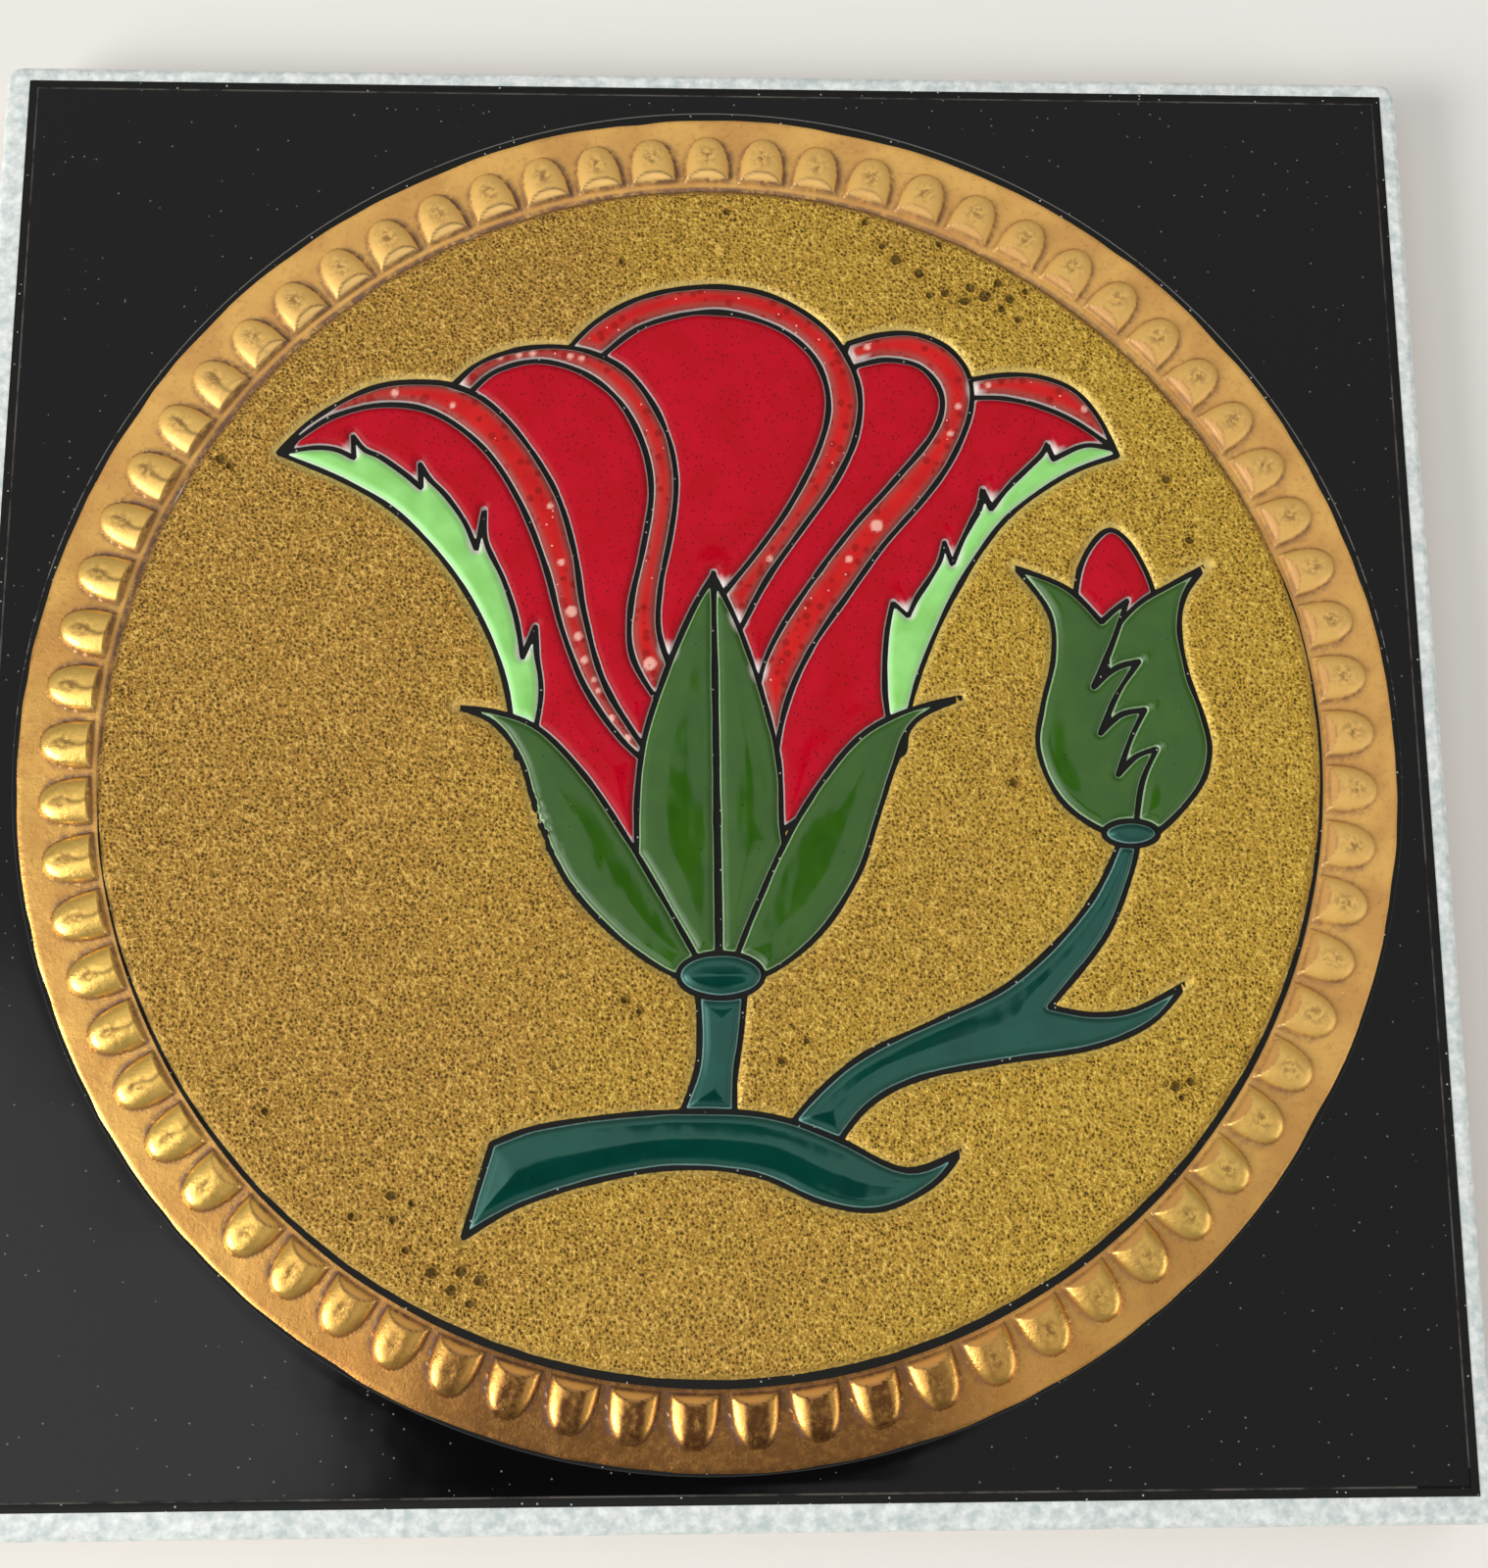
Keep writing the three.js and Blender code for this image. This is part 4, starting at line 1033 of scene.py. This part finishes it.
class BuildBody(TileOperator):
    """Pressed clay body: a rounded slab with a plain flat back"""

    bl_idname = "tile.build_body"
    bl_label = "Body"

    def execute(self, context):
        sizes = self.sizes
        bpy.ops.object.select_all(action="DESELECT")
        bpy.ops.mesh.primitive_cube_add(size=1, location=(0, 0, sizes.thickness / 2))
        piece = bpy.context.object
        piece.name = piece.data.name = "tile_body"
        piece.scale = (sizes.side, sizes.side, sizes.thickness)
        bpy.ops.object.transform_apply(location=True, rotation=True, scale=True)
        mesh = piece.data
        mesh.vertices.foreach_set("select", np.zeros(len(mesh.vertices), bool))
        mesh.polygons.foreach_set("select", np.zeros(len(mesh.polygons), bool))
        heights = [corner.co.z for corner in mesh.vertices]
        upright = [abs(heights[a] - heights[b]) > sizes.thickness / 2 for a, b in mesh.edge_keys]
        mesh.edges.foreach_set("select", upright)
        bpy.context.tool_settings.mesh_select_mode = (False, True, False)
        bpy.ops.object.mode_set(mode="EDIT")
        bpy.ops.mesh.bevel(offset=sizes.corner, segments=8)
        bpy.ops.object.mode_set(mode="OBJECT")
        arris = piece.modifiers.new("Arris", "BEVEL")
        arris.width, arris.segments, arris.limit_method = sizes.arris, 5, "ANGLE"
        arris.angle_limit = math.radians(40)
        bpy.ops.object.modifier_apply(modifier=arris.name)
        finish_piece(piece, pale_body_glaze(self.colours), "tile_body")
        return {"FINISHED"}


class BuildBorder(TileOperator):
    """Matt black line round the panel, and the thin bare line inside it"""

    bl_idname = "tile.build_border"
    bl_label = "Border lines"

    def execute(self, context):
        width = self.sizes.border_line / MM
        line = square_frame("border_line", PANEL_HALF, width, PLATE_FOOT, BORDER_TOP)
        finish_piece(line, matt_line(self.colours, "dry_black_border"), "matt_black_line")
        bare = square_frame("bare_line", PANEL_HALF - width, BARE_LINE, PLATE_FOOT, PANEL_TOP)
        finish_piece(bare, bare_line_finish(), "tile_body")
        return {"FINISHED"}


class BuildBlackGround(TileOperator):
    """Glossy black glaze that fills the corners between the border and the ring"""

    bl_idname = "tile.build_black_ground"
    bl_label = "Black ground"

    def execute(self, context):
        half = PANEL_HALF - self.sizes.border_line / MM - BARE_LINE
        mid_x, mid_y = PANEL_CENTRE
        hole_x, hole_y, hole_radius = BLACK_HOLE
        crown, grey_width, grey_inset = 0.02, 0.13, 0.05

        def depth(x, y):
            edge = half - np.maximum(np.abs(x - mid_x), np.abs(y - mid_y))
            return np.minimum(edge, np.hypot(x - hole_x, y - hole_y) - hole_radius)

        def height(inside, x, y):
            return PANEL_TOP + crown * np.clip(inside, 0, 1)

        box = (mid_x - half, mid_y - half, mid_x + half, mid_y + half)
        piece = pour("black_ground", depth, box, 0.55, height, PLATE_FOOT)
        finish_piece(piece, black_glaze(self.colours), "black_glaze")

        # The hole's edge at an angle round the ring's middle, which is a little south of the hole's own
        def hole_edge(turn):
            return hole_radius + hole_y * np.sin(turn) - grey_inset

        def grey_end(turn):
            return hole_edge(turn) + grey_width

        # A fine grey line along the hole's edge: thinned glaze with a painted highlight
        edge = ring_plate("glaze_edge", hole_edge, grey_end, PLATE_FOOT, GREY_EDGE_TOP)
        finish_piece(edge, glaze_edge_and_highlight(self.colours), "black_glaze")
        return {"FINISHED"}


def bead_cell(rise):
    """One cell of the ring, east of the ring's middle: a stretch of both bands with one bead between them,
    and the marks that the gold's material reads."""
    bpy.ops.object.select_all(action="DESELECT")
    bpy.ops.mesh.primitive_grid_add(x_subdivisions=44, y_subdivisions=30, size=1)
    piece = bpy.context.object
    piece.name = piece.data.name = "gold_ring"
    places = corners(piece) * MM
    radius = RING_INNER + (places[:, 0] + 0.5) * (RING_OUTER - RING_INNER)
    angle = places[:, 1] * BEAD_TURN
    across = angle * radius
    along = radius - BEAD_START

    # The bead is round across and blunt at its outer end. A slanted cut ends it at the inner one
    share = np.clip(along / BEAD_LENGTH, 0, 1)
    half = BEAD_HALF_WIDTH * np.sqrt(np.clip(1 - share**BEAD_BLUNTNESS, 0, 1))
    dome = np.sqrt(np.clip(half**2 - across**2, 0, None)) / BEAD_HALF_WIDTH
    slant = 0.5 + 0.5 * np.clip(along, 0, None) / CUT_LENGTH
    started = ramp(along, -0.22, 0.1)
    dent = np.exp(-((across / 0.7) ** 2) - ((along - 3.4) / 1.5) ** 2)
    bead = rise * (np.minimum(dome, slant) - 0.1 * dent) * started

    # The bands fall a little at the ring's outer and inner edges
    outer_fall = 0.18 * ramp(radius, RING_OUTER - 0.5, RING_OUTER)
    inner_fall = 0.17 * ramp(-radius, -RING_INNER - 1, -RING_INNER - 0.2)
    places[:, 0] = RING_CENTRE[0] + radius * np.cos(angle)
    places[:, 1] = RING_CENTRE[1] + radius * np.sin(angle)
    places[:, 2] = BAND_TOP - outer_fall - inner_fall + bead
    put_corners(piece, places)

    # Grime and painted shade lie in the channels, wider on one side of a bead than on the other, and on the
    # inner ledge
    side = np.abs(across) - half
    reach = np.where(across > 0, 0.45, 0.7)
    foot = np.exp(-((np.maximum(side, 0) / reach) ** 2)) * (bead < 0.35 * rise) * ramp(along, -0.6, 0)
    foot = foot * ramp(-along, -BEAD_LENGTH - 0.5, -BEAD_LENGTH + 1.5) * np.where(across > 0, 0.7, 1)
    ledge = ramp(-radius, -82.4, -81.9)
    marks = {"grime_and_shade": np.clip(np.maximum(foot, ledge * 1.2), 0, 1), "crown": bead / rise}

    # The cut facet, the wall before it, the painted shade of the crease round it, and how high the bead would
    # be without it
    marks["facet"] = (dome > slant) & (along > -0.05)
    marks["wall"] = ramp(along, -0.5, -0.3) * ramp(-along, -0.35, -0.1) * (np.abs(side + half) < half)
    marks["crease_shade"] = np.exp(-(((dome - slant) / 0.08) ** 2)) * (along > 0.2) * (along < 1.5)
    marks["cut"] = rise * np.clip(dome - slant, 0, None) * started

    # The rubbed spot on the crown, a wandering line of painted shade along its dent, and the bead's middle,
    # which takes a painted dark reflection near the worn place
    marks["rubbed"] = np.exp(-((across / 1.2) ** 2) - ((along - 3.3) / 1.5) ** 2)
    dent_shade = np.exp(-(((across - 0.35 * np.sin(1.3 * along)) / 0.3) ** 2)) * ramp(along, -0.1, 0.3)
    marks["dent_shade"] = dent_shade * ramp(-along, -5.4, -4.2)
    marks["dark_reflection_core"] = ramp(-np.abs(across - 0.2), -1.9, -1.2) * (dome <= slant) * (bead > 0.1)
    for name, values in marks.items():
        mark(piece, name, values)
    return piece


class BuildRing(TileOperator):
    """Gold ring: two smooth bands with a row of beads between them"""

    bl_idname = "tile.build_ring"
    bl_label = "Gold ring"

    def execute(self, context):
        piece = bead_cell(self.sizes.bead_rise / MM)
        select_faces(piece, np.ones(len(piece.data.polygons), bool))
        bpy.ops.mesh.spin(
            steps=BEAD_COUNT - 1,
            angle=BEAD_TURN * (BEAD_COUNT - 1),
            dupli=True,
            center=(RING_CENTRE[0] * MM, RING_CENTRE[1] * MM, 0),
            axis=(0, 0, 1),
        )
        bpy.ops.mesh.select_all(action="SELECT")
        bpy.ops.mesh.remove_doubles(threshold=0.01 * MM)
        bpy.ops.mesh.normals_make_consistent(inside=False)
        bpy.ops.object.mode_set(mode="OBJECT")
        places = corners(piece)
        x, y = places[:, 0] - RING_CENTRE[0], places[:, 1] - RING_CENTRE[1]
        lean = math.radians(BEAD_PHASE)
        places[:, 0] = RING_CENTRE[0] + x * math.cos(lean) - y * math.sin(lean)
        places[:, 1] = RING_CENTRE[1] + x * math.sin(lean) + y * math.cos(lean)
        cut = np.empty(len(places), np.float32)
        piece.data.attributes["cut"].data.foreach_get("value", cut)
        # At the left end of the ring the beads run on to their inner ends, which lie under the glaze there
        places[:, 2] += cut * ramp(-places[:, 0], 55, 72)
        # Slight dents of the mould
        places[:, 2] += 0.02 * noise_at(soft_noise(8, 5), places[:, 0], places[:, 1], 0.4)
        places[:, 2] += 0.03 * noise_at(soft_noise(14, 6), places[:, 0], places[:, 1], 0.5)
        put_corners(piece, places)
        finish_piece(piece, gold_lustre(self.colours), "gold_ring", 35)
        return {"FINISHED"}


class BuildRingLines(TileOperator):
    """Matt black lines at the ring's outer and inner edges"""

    bl_idname = "tile.build_ring_lines"
    bl_label = "Ring lines"

    def execute(self, context):
        material = matt_line(self.colours, "dry_black_ring_line")
        under_ring, under_glaze, under_field = 0.6, 1.6, 0.5
        outer = ring_plate(
            "ring_outer_line",
            lambda turn: turn * 0 + RING_OUTER - under_ring,
            lambda turn: turn * 0 + RING_OUTER + under_glaze,
            PLATE_FOOT,
            OUTER_LINE_TOP,
        )
        finish_piece(outer, material, "matt_black_line")

        def inner_edge(turn):
            return field_edge(turn) - under_field

        # The line shows over an arc round the ring's foot, widest there, and runs out under the field above
        def outer_edge(turn):
            low = towards_foot(turn)
            width = np.where(low > 0, 0.16 + 0.95 * low, 0.16 - 0.6 * ramp(-low, 0.03, 0.3))
            return field_edge(turn) + width + 0.02 * np.sin(31 * turn)

        inner = ring_plate("ring_inner_line", inner_edge, outer_edge, PLATE_FOOT, INNER_LINE_TOP)
        finish_piece(inner, material, "matt_black_line")
        return {"FINISHED"}


class BuildField(TileOperator):
    """Round field of foamed gold glaze, open where the picture stands"""

    bl_idname = "tile.build_field"
    bl_label = "Gold field"

    def execute(self, context):
        rise = self.sizes.foam_rise / MM
        foam, swell, edge_wave = soft_noise(1.1, 3), soft_noise(5, 4), soft_noise(4, 8)

        def disc(x, y):
            turn = np.arctan2(y - RING_CENTRE[1], x - RING_CENTRE[0])
            away = np.hypot(x - RING_CENTRE[0], y - RING_CENTRE[1])
            return field_edge(turn) - away + 0.04 * noise_at(edge_wave, x, y, 0.5)

        def depth(x, y):
            return np.minimum(disc(x, y), PICTURE.field_depth(x, y))

        def pitted(x, y):
            pit = np.zeros(x.shape)
            for px, py, radius in FOAM_PITS:
                pit = np.maximum(pit, ramp(-np.hypot(x - px, y - py), -radius * 2.1, -radius * 1.5))
            return pit

        # The foam is rounded at its shores, rough away from them, and smoother in a patch at the foot
        def height(inside, x, y):
            edge = 0.4 + 0.6 * (1 - (1 - np.clip(disc(x, y) / 1.2, 0, 1)) ** 2)
            smooth = 1 - 0.8 * ramp(-np.hypot((x + 9) / 1.6, y + 70), -9, -4)
            rough = ramp(inside, 0.3, 1.5) * smooth
            grains = 0.06 * noise_at(foam, x, y, 0.4) + 0.05 * noise_at(swell, x, y, 0.5)
            lip = 0.12 * (1 - (1 - np.clip(PICTURE.field_depth(x, y) / 0.5, 0, 1)) ** 2) - 0.12
            return FACE + rise * edge + rough * grains + lip * (edge > 0.99) - 0.5 * pitted(x, y)

        span = FIELD_RADIUS + 0.4
        box = (RING_CENTRE[0] - span, -span, RING_CENTRE[0] + span, span)
        piece = pour("gold_field", depth, box, 0.42, height, FIELD_FOOT)
        x, y = corners(piece)[:, :2].T
        upper = ramp(-towards_foot(np.arctan2(y, x - RING_CENTRE[0])), 0, 0.3)
        mark(piece, "from_line", np.minimum(PICTURE.field_depth(x, y), disc(x, y) + 3 * upper))
        # Darker brown along the field's upper edge against the ring
        mark(piece, "dark_fringe", upper * (1 - ramp(disc(x, y), 0.1, 1.0)))
        finish_piece(piece, foamed_gold(self.colours), "gold_field", 180)
        return {"FINISHED"}


class BuildPits(TileOperator):
    """Burst bubbles in the foam: one crater with a lip, copied to each place"""

    bl_idname = "tile.build_pits"
    bl_label = "Foam pits"

    def execute(self, context):
        bpy.ops.object.select_all(action="DESELECT")
        radius = 1.4
        bpy.ops.mesh.primitive_circle_add(vertices=20, radius=radius * MM, location=(0, 0, 0))
        crater = bpy.context.object
        bpy.ops.object.mode_set(mode="EDIT")
        bpy.ops.mesh.select_all(action="SELECT")
        # Radius and rise of each step from the foot, over the lip, and down into the bowl
        for ring, step in ((1.15, 0.16), (1.0, 0.05), (0.82, -0.12), (0.45, -0.16), (0.05, -0.06)):
            bpy.ops.mesh.extrude_edges_move(TRANSFORM_OT_translate={"value": (0, 0, step * MM)})
            bpy.ops.transform.resize(value=(ring / radius, ring / radius, 1), center_override=(0, 0, 0))
            radius = ring
        bpy.ops.mesh.edge_face_add()
        bpy.ops.mesh.select_all(action="SELECT")
        bpy.ops.mesh.normals_make_consistent(inside=False)
        bpy.ops.object.mode_set(mode="OBJECT")
        places = corners(crater)
        # The bowl inside the lip is painted darker: painted shade
        mark(crater, "pit", 0.85 * ramp(-np.hypot(places[:, 0], places[:, 1]), -0.95, -0.8))
        mark(crater, "from_line", np.full(len(places), 5.0))
        # The crater's foot is a little under the foam's top, and each copy is turned differently
        foot = FACE + self.sizes.foam_rise / MM - 0.14
        pits = [crater]
        for _ in FOAM_PITS[1:]:
            select_only(crater)
            bpy.ops.object.duplicate(linked=False)
            pits.append(bpy.context.object)
        for pit, (x, y, size) in zip(pits, FOAM_PITS):
            pit.location = (x * MM, y * MM, foot * MM)
            pit.scale = (1.6 * size, 1.4 * size, 1)
            pit.rotation_euler = (0, 0, 7 * x + 3 * y)
            pit.select_set(True)
        bpy.context.view_layer.objects.active = crater
        bpy.ops.object.join()
        bpy.ops.object.transform_apply(location=True, rotation=True, scale=True)
        crater.name = crater.data.name = "foam_pits"
        finish_piece(crater, bpy.data.materials["foamed_old_gold_glaze"], "gold_field", 60)
        return {"FINISHED"}


class BuildPictureLines(TileOperator):
    """Matt black ground of the drawing, which shows as the lines between the pools"""

    bl_idname = "tile.build_picture_lines"
    bl_label = "Picture lines"

    def execute(self, context):
        under_field = 0.55
        box = (-62, -66, 71, 69)

        def depth(x, y):
            return under_field - PICTURE.field_depth(x, y)

        piece = pour("picture_lines", depth, box, 0.7, lambda inside, x, y: LINE_TOP + 0 * x, FIELD_FOOT)
        finish_piece(piece, matt_line(self.colours), "matt_black_line")
        return {"FINISHED"}


def pour_pool(form, material, slot, shore, bubbles):
    """One pool of the picture, rounded down to its line over its shore and gently crowned."""
    rise = bpy.context.scene.tile_sizes.pool_rise / MM
    roll = soft_noise(10, 11)

    def height(inside, x, y):
        edge = 1 - (1 - np.clip(inside / shore, 0, 1)) ** 2.3
        crown = 1 - np.exp(-inside / 3.6)
        roll_here = 0.02 * noise_at(roll, x, y, 0.5) * np.clip(inside / 2, 0, 1)
        return LINE_TOP + 0.04 + rise * edge + 0.36 * crown + roll_here

    piece = pour(form, PICTURE.pool_depth(form), PICTURE.box(form), 0.3, height, LINE_TOP - 0.1)
    close_underside(piece)
    x, y = corners(piece)[:, :2].T
    tip = [TIP_PEAK - np.hypot(x - tx, y - ty) / TIP_RADIUS for tx, ty in THIN_TIPS]
    mark(piece, "tip", np.clip(np.max(tip, 0), 0, 1))
    if bubbles:
        soft = 0.12
        spots = [ramp(size / 2 - np.hypot(x - bx, y - by), -soft, soft) for bx, by, size in bubbles]
        mark(piece, "bubble", np.max(spots, 0))
    finish_piece(piece, material, slot, 60)


class PoolOperator(TileOperator):
    """What the builders of the pools share: each pours a group of forms in one glaze."""

    shore = POOL_SHORE
    bubbles = ()

    def execute(self, context):
        material = self.glaze(self.colours)
        for form in self.forms:
            pour_pool(form, material, self.slot, self.shore, self.bubbles)
        return {"FINISHED"}


class BuildPetals(PoolOperator):
    """Crimson pools of the rose and the bud"""

    bl_idname = "tile.build_petals"
    bl_label = "Petals"
    glaze = staticmethod(crimson_glaze)
    slot = "crimson_glaze"
    forms = tuple(petal + "_petal" for petal in (*PETALS, "bud"))


class BuildRims(PoolOperator):
    """Orange-red rims of the petals"""

    bl_idname = "tile.build_rims"
    bl_label = "Petal rims"
    glaze = staticmethod(orange_red_glaze)
    slot = "orange_red_glaze"
    forms = tuple(petal + "_rim" for petal in PETALS)
    shore = RIM_SHORE
    bubbles = BUBBLES


class BuildMargins(PoolOperator):
    """Light green toothed margins of the outer petals"""

    bl_idname = "tile.build_margins"
    bl_label = "Green margins"
    glaze = staticmethod(light_green_glaze)
    slot = "light_green_glaze"
    forms = ("right_margin", "left_margin")


class BuildSepals(PoolOperator):
    """Leaf green sepals of the rose and the bud"""

    bl_idname = "tile.build_sepals"
    bl_label = "Sepals"
    glaze = staticmethod(leaf_green_glaze)
    slot = "leaf_green_glaze"
    forms = ("middle_sepal", "left_sepal", "right_sepal", "bud_right_sepal", "bud_left_sepal")


class BuildStems(PoolOperator):
    """Teal stem, branch, stalk and knuckles"""

    bl_idname = "tile.build_stems"
    bl_label = "Stems"
    glaze = staticmethod(teal_glaze)
    slot = "teal_glaze"
    forms = ("stem", "branch", "stalk", "knuckle", "bud_knuckle")


def softbox(name, place, width, depth, power, mirrored=True):
    """A flat studio light that faces the tile. The glazes mirror it, or don't."""
    lamp = bpy.data.lights.new(name, "AREA")
    lamp.shape, lamp.size, lamp.size_y = "RECTANGLE", width, depth
    lamp.energy = power
    holder = bpy.data.objects.new(name, lamp)
    holder.visible_glossy = mirrored
    bpy.context.scene.collection.objects.link(holder)
    holder.location = place
    holder.rotation_euler = (-Vector(place)).to_track_quat("-Z", "Y").to_euler()


class BuildStage(TileOperator):
    """Pale floor, soft studio light and the camera"""

    bl_idname = "tile.build_stage"
    bl_label = "Stage"

    def execute(self, context):
        bpy.ops.object.select_all(action="DESELECT")
        bpy.ops.mesh.primitive_grid_add(x_subdivisions=4, y_subdivisions=4, size=4)
        floor = bpy.context.object
        floor.name = floor.data.name = "floor"
        floor.data.materials.append(floor_finish())
        # Place, width, depth and watts of each light
        softbox("window_left", (-1.15, -0.5, 0.7), 0.8, 0.6, 20)
        softbox("fill_right", (1.0, 0.8, 0.9), 1.2, 0.9, 6, mirrored=False)
        softbox("low_right", (1.3, -0.45, 0.4), 1.1, 0.5, 5)

        world = bpy.data.worlds.new("Room")
        context.scene.world = world
        world.use_nodes = True
        tree = world.node_tree
        tree.nodes.clear()
        # The direction a place is seen in, and the same bent a little, so that the mirrored shapes are uneven
        aim = add(tree, "ShaderNodeTexCoord", out="Generated")
        bent = add(tree, **NOISE, inputs={"Vector": aim, "Scale": 10.0, "Detail": 1}, out="Color")
        bent = add(tree, "ShaderNodeVectorMath", (bent, (0.5, 0.5, 0.5)), operation="SUBTRACT")
        bent = add(tree, "ShaderNodeVectorMath", {0: bent, "Scale": 0.14}, operation="SCALE")
        bent = add(tree, "ShaderNodeVectorMath", (aim, bent), operation="ADD")
        # A room that is brighter overhead and towards the left
        parts = add(tree, "ShaderNodeSeparateXYZ", (aim,))
        height = parts.node.outputs["Z"]
        ceiling = add(tree, **RANGE, inputs=(height, 0.5, 0.85, 0.22, 0.74))
        room = add(tree, **TIMES_PLUS, inputs=(parts, -0.14, ceiling))
        # The things overhead that the flat glazes mirror, as soft ovals in the direction's x and y
        bright, dark = 2.6, 0.03
        for (middle, radii), seen in ((BRIGHT_OVERHEAD, bright), *((oval, dark) for oval in DARK_OVERHEAD)):
            inputs = {
                "Vector": bent,
                "Location": (-middle[0] / radii[0], -middle[1] / radii[1], 0),
                "Scale": (1 / radii[0], 1 / radii[1], 0),
            }
            away = add(tree, "ShaderNodeMapping", inputs)
            size = add(tree, "ShaderNodeVectorMath", (away,), out=1, operation="LENGTH")
            share = add(tree, **RANGE, inputs=(size, 0.8, 1.12, seen, 1))
            room = add(tree, **TIMES, inputs=(room, share))
        back = add(tree, "ShaderNodeBackground", {"Color": room})
        add(tree, "ShaderNodeOutputWorld", {"Surface": back})
        context.scene.view_settings.view_transform = "Standard"
        context.scene.view_settings.look = "None"

        view = bpy.data.cameras.new("Camera")
        view.sensor_fit, view.sensor_height = "VERTICAL", SENSOR_HEIGHT
        view.lens = FOCAL_PIXELS * SENSOR_HEIGHT / PHOTO_HEIGHT
        view.clip_start, view.clip_end = 0.01, 20
        camera = bpy.data.objects.new("Camera", view)
        context.scene.collection.objects.link(camera)
        ahead, up = Vector(CAMERA_AHEAD).normalized(), Vector(CAMERA_UP)
        right = ahead.cross(up).normalized()
        up = right.cross(ahead)
        turned = Matrix((right, up, -ahead)).transposed().to_4x4()
        camera.matrix_world = Matrix.Translation([v * MM for v in CAMERA_PLACE]) @ turned
        context.scene.camera = camera
        return {"FINISHED"}


BUILDERS = (
    BuildStage, BuildBody, BuildBorder, BuildBlackGround, BuildRing, BuildRingLines, BuildField, BuildPits,
    BuildPictureLines, BuildPetals, BuildRims, BuildMargins, BuildSepals, BuildStems,
)


class TilePanel(bpy.types.Panel):
    """Lists the builders, the sizes and the colours"""

    bl_idname = "VIEW3D_PT_tile"
    bl_label = "Decorated tile"
    bl_space_type = "VIEW_3D"
    bl_region_type = "UI"
    bl_category = "Tile"

    def draw(self, context):
        for builder in BUILDERS:
            self.layout.operator(builder.bl_idname)
        for group in (context.scene.tile_sizes, context.scene.tile_colours):
            for name in group.bl_rna.properties.keys():
                if name not in ("rna_type", "name"):
                    self.layout.prop(group, name)


def register():
    for item in (TileSizes, TileColours, *BUILDERS, TilePanel):
        bpy.utils.register_class(item)
    bpy.types.Scene.tile_sizes = bpy.props.PointerProperty(type=TileSizes)
    bpy.types.Scene.tile_colours = bpy.props.PointerProperty(type=TileColours)


def unregister():
    del bpy.types.Scene.tile_colours
    del bpy.types.Scene.tile_sizes
    for item in (TilePanel, *reversed(BUILDERS), TileColours, TileSizes):
        bpy.utils.unregister_class(item)


def main():
    global PICTURE
    register()
    PICTURE = Picture()
    for builder in BUILDERS:
        group, name = builder.bl_idname.split(".")
        result = getattr(getattr(bpy.ops, group), name)()
        if result != {"FINISHED"}:
            raise RuntimeError(f"{builder.bl_label} did not finish")


if __name__ == "__main__":
    main()
